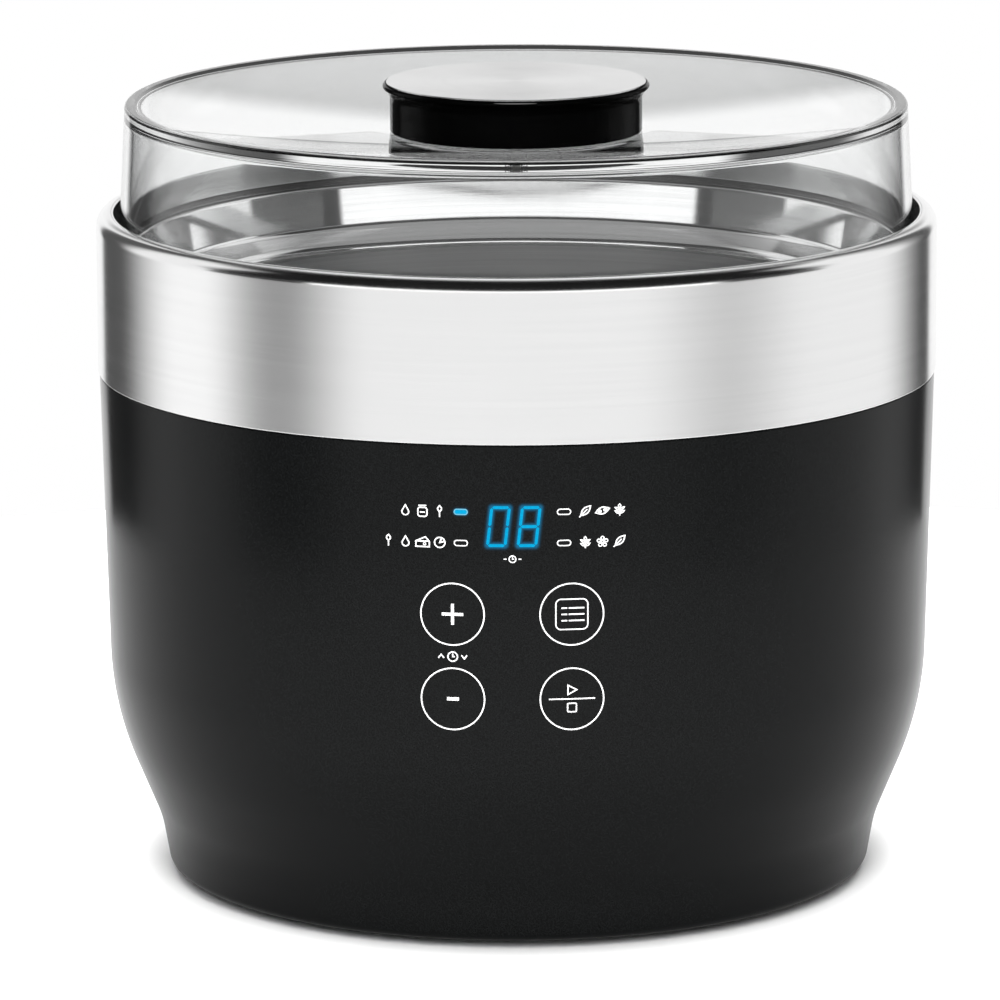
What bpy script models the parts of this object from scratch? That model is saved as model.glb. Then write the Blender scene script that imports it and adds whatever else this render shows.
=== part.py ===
"""Yogurt maker: a round thermal body with a steel well, a touch panel and a clear lift-off lid.

Lengths are in millimetres and are turned into metres where a mesh is made. +Z is up, the origin is
on the turning axis at the level that the feet rest on, and the touch panel faces -Y.
"""

import math

import bmesh
import bpy
from mathutils import Matrix, Vector

MM = 0.001
GAP = 0.3                      # clearance between two pieces that touch
MERGE = 1e-6                   # merge distance, in metres
SHELL_SEGMENTS = 36            # steps round the large turned shells
SMALL_SEGMENTS = 8             # steps round screws, studs and pegs

# The well: driving sizes
TUB_R = 94.0                   # bore of the heated well
TUB_FLOOR_Z = 50.0
TUB_DEPTH = 118.3              # floor to the top of the flange
TUB_SHEET = 0.8
TUB_FLOOR_FILLET = 8.0
FUNNEL_W = 7.0                 # how far the funnel opens beyond the bore
FUNNEL_H = 15.5
FLANGE_W = 4.2

# The body round it: driving sizes
WALL_SPACE = 16.0              # from the bore of the well to the outside of the steel band
BAND_H = 41.8
BAND_SHEET = 0.8
RIM_ABOVE_SEAT = 8.7           # crest of the rim over the lid's seat
RIM_FILLET = 4.0
LIP_DEPTH = 4.4
HOUSING_WALL = 2.5
HOUSING_CLEARANCE = 2.5        # lower edge of the housing over the table
SEAM_STEP = 0.3                # how far the housing stays inside the band
SLEEVE_DROP = 5.0              # top of the housing's sleeve under the lid's seat
GASKET_T = 0.8
COLLAR_SHELF_T = 2.5
COLLAR_SPIGOT_L = 5.5
GLAND_RISE = 4.7               # middle of the cord gland over the base plate
GLAND_HOLE_R = 4.8
CORD_BORE_R = 3.2
SHOULDER_INSET = 2.6           # how far the shoulder's corner stays inside the band
SHOULDER_Z = 45.9
SHOULDER_FILLET = 80.0
ANKLE_INSET = 15.15            # the corner over the foot of the housing
ANKLE_Z = 15.95
ANKLE_FILLET = 33.0
HEEL_INSET = 17.55             # the lower edge
HEEL_FILLET = 3.0

# The lid: driving sizes
LID_H = 36.7
LID_WALL = 2.6
LID_CLEARANCE = 1.0            # lid to the flange's edge
LID_DRAFT = 1.9                # how much narrower the lid is at its top
DISH_DEPTH = 8.0
DISH_SLOPE = math.tan(math.radians(4.0))
KNOB_R = 34.9
KNOB_NECK_R = 33.0
KNOB_H = 12.9
KNOB_WALL = 2.6
INLAY_H = 0.6

# The touch panel on the front
PANEL_DROP = 16.9              # from the seam down to the upper row of lights
LIGHT_PITCH = 8.0
LIGHT_X = 12.9
LIGHT_SIZE = (3.75, 1.75)
KEY_X = 14.8
KEY_DROPS = (43.2, 64.9)       # from the seam down to the two rows of keys
DISPLAY_SIZE = (20.4, 12.0)
BOARD_T = 1.6
CONTROL_BOARD_MAX_W = 64.0
CONTROL_BOARD_TOP_DROP = 11.2
CONTROL_BOARD_H = 64.0
CONTROL_BOARD_ROOM = 2.2       # from the well's outside to the board
PILLAR_R = 2.8
POCKET_SIZE = (34.0, 17.0)
POCKET_DEPTH = 0.8             # behind the front wall's inner face, in the middle

# The base and what stands on it
BASE_T = 2.5
BASE_RECESS = 0.8
FOOT_R = 7.5
FOOT_PEG_R = 2.5
FOOT_INSET = 14.0
BASE_SCREW_INSET = 12.0
BOSS_R = 4.0
BOSS_H = 18.0
VENT_COUNT = 10
VENT_SIZE = (3.0, 16.0)
VENT_R = 22.0                  # circle that the middles of the vents are on
POWER_POST_R = 3.0
POWER_POST_HOLE_R = 1.3
SHIELD_POST_FOOT_R = 3.5
SHIELD_PIN_R = 1.5             # the pin that goes through the shield
SHIELD_PIN_L = 3.0
SHIELD_INSET = 24.0            # from the bore of the well
SHIELD_SHEET = 0.8
SHIELD_DROP = 16.7             # under the floor of the well
SHIELD_POST_INSET = 6.0        # from the edge of the shield
POWER_BOARD_SIZE = (76.0, 56.0)
TRANSFORMER_SIZE = (30.0, 24.0, 15.5)
RELAY_SIZE = (19.0, 15.5, 15.0)
TERMINAL_SIZE = (10.0, 22.0, 12.0)
TERMINAL_X = 31.0
POWER_BOARD_LIFT = 6.5

# The heater under the well
MAT_INSET = 18.0               # from the bore of the well
MAT_T = 1.5
PLATE_INSET = 24.0             # from the bore of the well
PLATE_T = 1.5
STUD_R = 1.9
STUD_INSET = 20.0              # from the edge of the plate
STUD_L = 9.0
SENSOR_BORE_R = 9.0

# Heights and radii worked out from those
BAND_R = TUB_R + WALL_SPACE
SEAT_Z = TUB_FLOOR_Z + TUB_DEPTH
RIM_Z = SEAT_Z + RIM_ABOVE_SEAT
SEAM_Z = RIM_Z - BAND_H
FUNNEL_TOP_R = TUB_R + FUNNEL_W
FLANGE_R = FUNNEL_TOP_R + FLANGE_W
HOUSING_R = BAND_R - SEAM_STEP
SLEEVE_R = BAND_R - BAND_SHEET - GAP
SLEEVE_TOP_Z = SEAT_Z - SLEEVE_DROP
TUB_UNDER_Z = TUB_FLOOR_Z - TUB_SHEET
MAT_R = TUB_R - MAT_INSET
PLATE_R = TUB_R - PLATE_INSET
STUD_CIRCLE_R = PLATE_R - STUD_INSET
SHIELD_R = TUB_R - SHIELD_INSET
SHIELD_POST_R = SHIELD_R - SHIELD_POST_INSET
MAT_TOP_Z = TUB_UNDER_Z - GAP
MAT_UNDER_Z = MAT_TOP_Z - MAT_T
PLATE_TOP_Z = MAT_UNDER_Z - GAP
PLATE_UNDER_Z = PLATE_TOP_Z - PLATE_T
SHIELD_Z = TUB_FLOOR_Z - SHIELD_DROP
BASE_UNDER_Z = HOUSING_CLEARANCE + BASE_RECESS
BASE_TOP_Z = BASE_UNDER_Z + BASE_T
GLAND_Z = BASE_TOP_Z + GLAND_RISE
POWER_BOARD_Z = BASE_TOP_Z + POWER_BOARD_LIFT
LID_Z = SEAT_Z + GAP
LID_R = FLANGE_R - LID_CLEARANCE
LID_TOP_Z = LID_Z + LID_H
LID_TOP_R = LID_R - LID_DRAFT
DISH_R = LID_TOP_R - LID_WALL
KNOB_SEAT_Z = LID_TOP_Z - DISH_DEPTH
PANEL_Z = SEAM_Z - PANEL_DROP
CONTROL_BOARD_BACK_Y = -(TUB_R + TUB_SHEET + CONTROL_BOARD_ROOM)
CONTROL_BOARD_FRONT_Y = CONTROL_BOARD_BACK_Y - BOARD_T
CONTROL_BOARD_TOP_Z = SEAM_Z - CONTROL_BOARD_TOP_DROP


# ---------------------------------------------------------------- outlines

def arc(centre, radius, start_deg, end_deg, steps):
    """Points of an arc, from its start angle to its end angle."""
    points = []
    for step in range(steps + 1):
        angle = math.radians(start_deg + (end_deg - start_deg) * step / steps)
        points.append((centre[0] + radius * math.cos(angle), centre[1] + radius * math.sin(angle)))
    return points


def rounded(corners, steps=3):
    """An outline through (x, y, fillet) corners, each corner with a fillet turned into an arc."""
    points = []
    for index, (x, y, fillet) in enumerate(corners):
        if fillet == 0:
            points.append((x, y))
            continue
        corner = Vector((x, y))
        before = (Vector(corners[index - 1][:2]) - corner).normalized()
        after = (Vector(corners[(index + 1) % len(corners)][:2]) - corner).normalized()
        half = before.angle(after) / 2
        centre = corner + (before + after).normalized() * fillet / math.sin(half)
        start = (corner + before * fillet / math.tan(half)) - centre
        turn = start.angle_signed((corner + after * fillet / math.tan(half)) - centre)
        for step in range(steps + 1):
            turned_by = Matrix.Rotation(-turn * step / steps, 2)
            points.append(tuple(centre + turned_by @ start))
    return points


def offset(points, distance):
    """An open polyline moved sideways by a distance, to its left when that is positive."""
    line = [Vector(point) for point in points]
    moved = []
    for index, point in enumerate(line):
        into = point - line[max(index - 1, 0)]
        out_of = line[min(index + 1, len(line) - 1)] - point
        into = (into if into.length else out_of).normalized()
        out_of = (out_of if out_of.length else into).normalized()
        left = (into + out_of).normalized().orthogonal()
        moved.append(tuple(point + left * distance / max(into.dot((into + out_of).normalized()), 0.2)))
    return moved


def radius_at(outline, height):
    """Radius of an outline that rises, at a height."""
    for (low_r, low_z), (high_r, high_z) in zip(outline, outline[1:]):
        if low_z <= height <= high_z:
            return low_r + (high_r - low_r) * (height - low_z) / (high_z - low_z)
    return outline[-1][0]


def housing_corners(inset):
    """The corners of the housing's side, heel to seam, moved in by an inset."""
    outer = [
        (BAND_R - HEEL_INSET, HOUSING_CLEARANCE),
        (BAND_R - ANKLE_INSET, ANKLE_Z),
        (BAND_R - SHOULDER_INSET, SHOULDER_Z),
        (HOUSING_R, SEAM_Z - GAP),
    ]
    return offset(outer, inset)


def housing_inner():
    """The inside of the housing, heel to the top of its sleeve."""
    heel, ankle, shoulder, _ = housing_corners(HOUSING_WALL)
    return rounded([
        (heel[0], HOUSING_CLEARANCE, 0),
        (*ankle, ANKLE_FILLET + HOUSING_WALL),
        (*shoulder, SHOULDER_FILLET - HOUSING_WALL),
        (SLEEVE_R - HOUSING_WALL, SLEEVE_TOP_Z, 0),
    ])


def inner_radius(height):
    """Inner radius of the housing at a height, less the flats of its facets."""
    return radius_at(housing_inner(), height) * math.cos(math.pi / SHELL_SEGMENTS)


def inner_y(x, height):
    """Y of the housing's inner face in front, at an x and a height."""
    return -math.sqrt(inner_radius(height) ** 2 - x ** 2)


# ---------------------------------------------------------------- materials and meshes

def finish(name, colour, roughness, metallic=0.0, transmission=0.0, glow=0.0):
    """A Principled material."""
    material = bpy.data.materials.new(name)
    material.use_nodes = True
    shader = material.node_tree.nodes["Principled BSDF"]
    shader.inputs["Base Color"].default_value = (*colour, 1.0)
    shader.inputs["Roughness"].default_value = roughness
    shader.inputs["Metallic"].default_value = metallic
    shader.inputs["Transmission Weight"].default_value = transmission
    shader.inputs["Emission Color"].default_value = (*colour, 1.0)
    shader.inputs["Emission Strength"].default_value = glow
    return material


def add_object(name, data, material, cutter=False):
    """Link an object with a material; a cutter stays out of the model."""
    piece = bpy.data.objects.new(name, data)
    bpy.context.collection.objects.link(piece)
    if cutter:
        piece.hide_render = True
        piece.display_type = "WIRE"
    else:
        data.materials.append(material)
    return piece


def close_mesh(name, mesh_in_work):
    """Merge doubles, face outwards and turn millimetres into metres."""
    bmesh.ops.scale(mesh_in_work, vec=(MM, MM, MM), verts=mesh_in_work.verts)
    bmesh.ops.remove_doubles(mesh_in_work, verts=mesh_in_work.verts, dist=MERGE)
    bmesh.ops.recalc_face_normals(mesh_in_work, faces=mesh_in_work.faces)
    mesh = bpy.data.meshes.new(name)
    mesh_in_work.to_mesh(mesh)
    mesh_in_work.free()
    return mesh


def place(piece, location, rotation=(0.0, 0.0, 0.0)):
    """Put a piece at a place in millimetres, turned by Euler angles in radians."""
    piece.location = Vector(location) * MM
    piece.rotation_euler = rotation
    return piece


def turned(name, outline, material=None, segments=SMALL_SEGMENTS, cutter=False):
    """Turn an (r, z) outline round Z; it closes by itself unless both ends are on the axis."""
    work = bmesh.new()
    verts = [work.verts.new((radius, 0.0, height)) for radius, height in outline]
    on_axis = outline[0][0] == 0 and outline[-1][0] == 0
    pairs = list(zip(verts, verts[1:]))
    if not on_axis:
        pairs.append((verts[-1], verts[0]))
    edges = [work.edges.new(pair) for pair in pairs]
    bmesh.ops.spin(work, geom=verts + edges, axis=(0, 0, 1), cent=(0, 0, 0),
                   steps=segments, angle=2 * math.pi, use_merge=True)
    piece = add_object(name, close_mesh(name, work), material, cutter)
    if not cutter:
        piece.data.shade_smooth()
        piece.data.set_sharp_from_angle(angle=math.radians(35))
    return piece


def extruded(name, outline, height, material=None, cutter=False):
    """Raise a flat (x, y) outline by a height along Z."""
    work = bmesh.new()
    face = work.faces.new([work.verts.new((x, y, 0.0)) for x, y in outline])
    raised = bmesh.ops.extrude_face_region(work, geom=[face])["geom"]
    tops = [item for item in raised if isinstance(item, bmesh.types.BMVert)]
    bmesh.ops.translate(work, vec=(0, 0, height), verts=tops)
    return add_object(name, close_mesh(name, work), material, cutter)


def block(name, size, centre, material=None, bevel=0.0, cutter=False):
    """A box with chamfered edges, about its centre."""
    work = bmesh.new()
    bmesh.ops.create_cube(work, size=1.0)
    bmesh.ops.scale(work, vec=size, verts=work.verts)
    if bevel:
        bmesh.ops.bevel(work, geom=work.edges[:], offset=bevel, segments=1, affect="EDGES")
    return place(add_object(name, close_mesh(name, work), material, cutter), centre)


def tube(name, points, radius, material, roundness=1):
    """A wire along points, with filled ends."""
    curve = bpy.data.curves.new(name, "CURVE")
    curve.dimensions = "3D"
    curve.bevel_depth = radius * MM
    curve.bevel_resolution = roundness
    curve.use_fill_caps = True
    spline = curve.splines.new("POLY")
    spline.points.add(len(points) - 1)
    for spline_point, point in zip(spline.points, points):
        spline_point.co = (*(Vector(point) * MM), 1.0)
    return add_object(name, curve, material)


def smooth_route(points, steps=3):
    """Points of a smooth curve through route points."""
    ends = [points[0], *points, points[-1]]
    route = []
    for before, start, end, after in zip(ends, ends[1:], ends[2:], ends[3:]):
        p0, p1, p2, p3 = (Vector(point) for point in (before, start, end, after))
        for step in range(steps):
            t = step / steps
            route.append(0.5 * (2 * p1 + (p2 - p0) * t + (2 * p0 - 5 * p1 + 4 * p2 - p3) * t ** 2
                                + (3 * p1 - p0 - 3 * p2 + p3) * t ** 3))
    return [*route, Vector(points[-1])]


def coil(name, radius, length, turns, wire_r, material):
    """A helical spring along Z from 0 to its length, with its ends clear of both planes."""
    steps_per_turn = 8
    count = int(turns * steps_per_turn)
    points = []
    for step in range(count + 1):
        angle = 2 * math.pi * step / steps_per_turn
        height = wire_r + (length - 2 * wire_r) * step / count
        points.append((radius * math.cos(angle), radius * math.sin(angle), height))
    return tube(name, points, wire_r, material, roundness=0)


def combine(target, tool, operation):
    """A Boolean between a piece and a hidden tool."""
    modifier = target.modifiers.new(tool.name, "BOOLEAN")
    modifier.operation = operation
    modifier.object = tool
    modifier.solver = "EXACT"


def ring_places(count, radius, start_deg=0.0):
    """Evenly spaced (x, y) places on a circle."""
    angles = [math.radians(start_deg + 360 * index / count) for index in range(count)]
    return [(radius * math.cos(angle), radius * math.sin(angle)) for angle in angles]


def screw(name, head_r, head_h, shank_r, shank_l, material):
    """A pan-head screw: its seat is at z = 0, its shank points up."""
    outline = [(0, -head_h), (head_r * 0.7, -head_h), (head_r, -head_h * 0.5), (head_r, 0),
               (shank_r, 0), (shank_r, shank_l - shank_r), (0, shank_l)]
    return turned(name, outline, material)


# ---------------------------------------------------------------- places that pieces share

def control_board_width():
    """The control board is as wide as the housing leaves room for at its lower corners."""
    low_z = CONTROL_BOARD_TOP_Z - CONTROL_BOARD_H
    room = math.sqrt(inner_radius(low_z) ** 2 - CONTROL_BOARD_FRONT_Y ** 2)
    return min(CONTROL_BOARD_MAX_W, 2 * (room - 1.0))


def control_screw_places():
    """(x, z) of the screws near the control board's corners."""
    beside_lights = LIGHT_X + LIGHT_SIZE[0] / 2 + PILLAR_R + 2 * GAP
    x = max(control_board_width() / 2 - 6.0, beside_lights)
    heights = (CONTROL_BOARD_TOP_Z - CONTROL_BOARD_H + 4.0, CONTROL_BOARD_TOP_Z - 4.0)
    return [(side * x, height) for height in heights for side in (-1, 1)]


def base_radius():
    """Radius of the base plate, inside the heel of the housing."""
    return inner_radius(BASE_UNDER_Z) - GAP


def base_screw_places():
    """(x, y) of the screws through the base."""
    reach = base_radius() - BASE_SCREW_INSET
    return [ring_places(1, reach, angle)[0] for angle in (60, 120, 240, 300)]


def foot_places():
    """(x, y) of the feet."""
    reach = base_radius() - FOOT_INSET
    return [ring_places(1, reach, angle)[0] for angle in (30, 150, 210, 330)]


def power_post_places():
    """(x, y) of the posts under the power board."""
    x, y = POWER_BOARD_SIZE[0] / 2 - 4.0, POWER_BOARD_SIZE[1] / 2 - 4.0
    return [(x, y), (-x, y), (-x, -y), (x, -y)]


def gland_place():
    """Place and turn of the cord gland, square to the rear wall."""
    heel, ankle = housing_corners(0)[:2]
    lean = math.atan2(ankle[0] - heel[0], ankle[1] - heel[1])
    wall_r = radius_at([heel, ankle], GLAND_Z)
    return (0.0, wall_r, GLAND_Z), (-(math.pi / 2 + lean), 0.0, 0.0)


def pillar_outline(hole_r, radius, length, floor):
    """A pillar with a blind hole from its lower end."""
    roof = length - floor
    return [(0, roof), (hole_r, roof), (hole_r, 0), (radius, 0), (radius, length), (0, length)]


# ---------------------------------------------------------------- the body

def make_housing(material):
    """The black outer shell with its sleeve, bosses and the pocket behind the display."""
    heel, ankle, shoulder, seam = housing_corners(0)
    profile = rounded([
        (*heel, HEEL_FILLET),
        (*ankle, ANKLE_FILLET),
        (*shoulder, SHOULDER_FILLET),
        (*seam, 0),
        (SLEEVE_R, seam[1], 0),
        (SLEEVE_R, SLEEVE_TOP_Z, 0),
        *[(radius, height, 0) for radius, height in reversed(housing_inner())],
    ])
    housing = turned("outer_housing", profile, material, SHELL_SEGMENTS)
    for index, (x, y) in enumerate(base_screw_places()):
        add_base_boss(housing, index, x, y)
    for index, (x, z) in enumerate(control_screw_places()):
        add_control_pillar(housing, index, x, z)
    cut_display_pocket(housing)
    place_xyz, turn = gland_place()
    hole = turned("gland_hole", [(0, -8), (GLAND_HOLE_R, -8), (GLAND_HOLE_R, 6), (0, 6)], cutter=True)
    combine(housing, place(hole, place_xyz, turn), "DIFFERENCE")


def add_base_boss(housing, index, x, y):
    """A screw boss over the base plate, tied to the wall by a rib."""
    reach = math.hypot(x, y)
    angle = math.atan2(y, x)
    low_z = BASE_TOP_Z + GAP
    boss = turned(f"base_boss_{index}", pillar_outline(1.6, BOSS_R, BOSS_H, 3.0), cutter=True)
    combine(housing, place(boss, (x, y, low_z)), "UNION")
    rib_low, rib_high = low_z + 1.0, low_z + BOSS_H - 1.0
    outline = [(reach + 2.4, rib_low), (inner_radius(rib_low) + 1.2, rib_low),
               (inner_radius(rib_high) + 1.2, rib_high), (reach + 2.4, rib_high)]
    rib = extruded(f"base_rib_{index}", outline, 2.0, cutter=True)
    across = (math.sin(angle), -math.cos(angle))
    rotation = (math.pi / 2, 0.0, angle)
    combine(housing, place(rib, (-across[0], -across[1], 0.0), rotation), "UNION")


def add_control_pillar(housing, index, x, z):
    """A pillar from the front wall back to the control board."""
    start_y = CONTROL_BOARD_FRONT_Y - GAP
    length = start_y - inner_y(abs(x), z) + HOUSING_WALL * 0.6
    pillar = turned(f"control_pillar_{index}", pillar_outline(1.3, PILLAR_R, length, 2.0), cutter=True)
    combine(housing, place(pillar, (x, start_y, z), (math.pi / 2, 0, 0)), "UNION")


def display_pocket_y():
    """Y of the flat floor of the pocket behind the display."""
    return inner_y(0, PANEL_Z) - POCKET_DEPTH


def cut_display_pocket(housing):
    """Thin the front wall where the display and the lights shine through."""
    open_y = -(BAND_R - WALL_SPACE / 2)
    floor_y = display_pocket_y()
    size = (POCKET_SIZE[0], open_y - floor_y, POCKET_SIZE[1])
    centre = (0, (open_y + floor_y) / 2, PANEL_Z - LIGHT_PITCH / 2)
    combine(housing, block("display_pocket", size, centre, cutter=True), "DIFFERENCE")


def make_band(material):
    """The steel band with its rolled rim and the lip turned down inside."""
    lip_r = 0.9
    rim_centre = (BAND_R - RIM_FILLET, RIM_Z - RIM_FILLET)
    lip_face = rim_centre[0] - lip_r
    outline = [
        (BAND_R, SEAM_Z),
        *arc(rim_centre, RIM_FILLET, 0, 90, 3),
        *arc((rim_centre[0], RIM_Z - lip_r), lip_r, 90, 180, 2)[1:],
        (lip_face, RIM_Z - LIP_DEPTH),
        (lip_face + BAND_SHEET, RIM_Z - LIP_DEPTH),
        (lip_face + BAND_SHEET, RIM_Z - BAND_SHEET),
        *arc(rim_centre, RIM_FILLET - BAND_SHEET, 90, 0, 3),
        (BAND_R - BAND_SHEET, SEAM_Z),
    ]
    turned("steel_band", outline, material, SHELL_SEGMENTS)


def collar_shelf_z():
    """Top of the collar's shelf, under the gasket and the tub's flange."""
    return SEAT_Z - TUB_SHEET - GASKET_T - 2 * GAP


def make_collar(collar_finish, gasket_finish):
    """The black collar that fills the top of the wall, and the gasket on its shelf."""
    shelf_z = collar_shelf_z()
    low_z = SLEEVE_TOP_Z + GAP
    shelf_r = FUNNEL_TOP_R + 1.0
    face_r = FLANGE_R + GAP
    spigot_r = SLEEVE_R - HOUSING_WALL - GAP
    top_z = RIM_Z - LIP_DEPTH - GAP
    outline = [
        (shelf_r, shelf_z - COLLAR_SHELF_T), (spigot_r - 2.0, shelf_z - COLLAR_SHELF_T),
        (spigot_r - 2.0, low_z - COLLAR_SPIGOT_L), (spigot_r, low_z - COLLAR_SPIGOT_L), (spigot_r, low_z),
        (SLEEVE_R, low_z), (SLEEVE_R, top_z), (face_r, top_z), (face_r, shelf_z), (shelf_r, shelf_z),
    ]
    turned("top_collar", outline, collar_finish, SHELL_SEGMENTS)
    low, high = shelf_z + GAP, shelf_z + GAP + GASKET_T
    ring = [(shelf_r + GAP, low), (FLANGE_R, low), (FLANGE_R, high), (shelf_r + GAP, high)]
    turned("tub_gasket", ring, gasket_finish, SHELL_SEGMENTS)


def make_tub(material):
    """The steel well: floor, wall, funnel and flange in one sheet."""
    funnel_z = SEAT_Z - FUNNEL_H
    cove_r, cove_z = FUNNEL_TOP_R, SEAT_Z - FUNNEL_H + FUNNEL_W
    inside = rounded([
        (0.0, TUB_FLOOR_Z, 0),
        (TUB_R, TUB_FLOOR_Z, TUB_FLOOR_FILLET),
        (TUB_R, funnel_z, 1.2),
        (cove_r, cove_z, 14.0),
        (cove_r, SEAT_Z, 0.9),
        (FLANGE_R, SEAT_Z, 0),
    ], steps=2)
    outside = offset(inside, -TUB_SHEET)
    turned("heating_tub", inside + outside[::-1], material, SHELL_SEGMENTS)


def drill(target, places, radius, low_z, high_z):
    """Round holes through a piece along Z."""
    for index, (x, y) in enumerate(places):
        outline = [(0, low_z), (radius, low_z), (radius, high_z), (0, high_z)]
        cutter = turned(f"{target.name}_hole_{radius}_{index}", outline, cutter=True)
        combine(target, place(cutter, (x, y, 0)), "DIFFERENCE")


def make_heater(mat_finish, plate_finish, steel):
    """The heater mat clamped under the well by a plate on three studs."""
    studs = ring_places(3, STUD_CIRCLE_R, 90)
    mat = turned("heater_mat", [(SENSOR_BORE_R, MAT_UNDER_Z), (MAT_R, MAT_UNDER_Z), (MAT_R, MAT_TOP_Z),
                                (SENSOR_BORE_R, MAT_TOP_Z)], mat_finish, SHELL_SEGMENTS)
    drill(mat, studs, STUD_R + GAP + 0.3, MAT_UNDER_Z - 1, MAT_TOP_Z + 1)
    plate = turned("heater_plate", [(SENSOR_BORE_R, PLATE_UNDER_Z), (PLATE_R, PLATE_UNDER_Z),
                                    (PLATE_R, PLATE_TOP_Z), (SENSOR_BORE_R, PLATE_TOP_Z)],
                   plate_finish, SHELL_SEGMENTS)
    drill(plate, studs, STUD_R + GAP + 0.3, PLATE_UNDER_Z - 1, PLATE_TOP_Z + 1)
    nut_h, nut_corner_r, nut_hole_r = 3.2, 4.1, STUD_R + 0.8
    nut_z = PLATE_UNDER_Z - GAP - nut_h
    for number, (x, y) in enumerate(studs, start=1):
        stud = [(0, 0), (STUD_R, 0), (STUD_R, STUD_L), (0, STUD_L)]
        place(turned(f"heater_stud_{number}", stud, steel), (x, y, MAT_TOP_Z - STUD_L))
        nut = [(nut_hole_r, 0), (nut_corner_r, 0), (nut_corner_r, nut_h), (nut_hole_r, nut_h)]
        place(turned(f"heater_nut_{number}", nut, steel, segments=6), (x, y, nut_z))


def make_sensor(plastic, steel, probe_finish):
    """The spring-loaded temperature sensor that presses on the well's floor."""
    bore_r, tube_r = SENSOR_BORE_R - 2.1, SENSOR_BORE_R - 0.4
    flange_z = PLATE_UNDER_Z - GAP
    holder = [(bore_r, flange_z - 1.6), (tube_r + 3.4, flange_z - 1.6), (tube_r + 3.4, flange_z),
              (tube_r, flange_z), (tube_r, MAT_TOP_Z), (bore_r, MAT_TOP_Z)]
    turned("sensor_holder", holder, plastic, segments=16)
    head_r, stem_r, head_h = bore_r - 0.5, 3.0, 3.0
    stem_z = SHIELD_Z - 3.0
    head_z = MAT_TOP_Z - head_h
    probe = [(0, stem_z), (stem_r, stem_z), (stem_r, head_z), (head_r, head_z), (head_r, MAT_TOP_Z),
             (0, MAT_TOP_Z)]
    turned("temperature_sensor", probe, probe_finish, segments=12)
    wire_r, spring_r = 0.45, 4.6
    spring_low = SHIELD_Z + SHIELD_SHEET + GAP
    spring = coil("sensor_spring", spring_r, head_z - GAP - spring_low, 4, wire_r, steel)
    place(spring, (0, 0, spring_low))


def make_fuse(fuse_finish, steel):
    """The thermal fuse under the heater plate, held by a clip."""
    fuse_r, fuse_l, x = 2.0, 12.0, -32.0
    centre_z = PLATE_UNDER_Z - GAP - fuse_r - 0.2
    end, end_r = fuse_l / 2, fuse_r * 0.6
    outline = [(0, -end), (end_r, -end), (fuse_r, -end + 1), (fuse_r, end - 1), (end_r, end), (0, end)]
    place(turned("thermal_fuse", outline, fuse_finish), (x, 0, centre_z), (math.pi / 2, 0, 0))
    sheet, half, top = 0.6, fuse_r + GAP + 0.1, fuse_r + 0.2
    wing, outer, under = half + 4, half + sheet, top - sheet
    clip = [(-wing, top), (-wing, under), (-outer, under), (-outer, -outer), (outer, -outer), (outer, under),
            (wing, under), (wing, top), (half, top), (half, -half), (-half, -half), (-half, top)]
    piece = extruded("fuse_clip", clip, 4.0, steel)
    place(piece, (x, 2.0, centre_z), (math.pi / 2, 0, 0))


def make_shield(material):
    """The sheet shield between the heater and the power board."""
    low, high, rim = SHIELD_Z, SHIELD_Z + SHIELD_SHEET, SHIELD_Z + 3.0
    outline = [(3.6, low), (SHIELD_R, low), (SHIELD_R, rim), (SHIELD_R - SHIELD_SHEET, rim),
               (SHIELD_R - SHIELD_SHEET, high), (3.6, high)]
    shield = turned("heat_shield", outline, material, SHELL_SEGMENTS)
    drill(shield, ring_places(3, SHIELD_POST_R, 60), 1.9, low - 1, high + 1)


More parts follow.
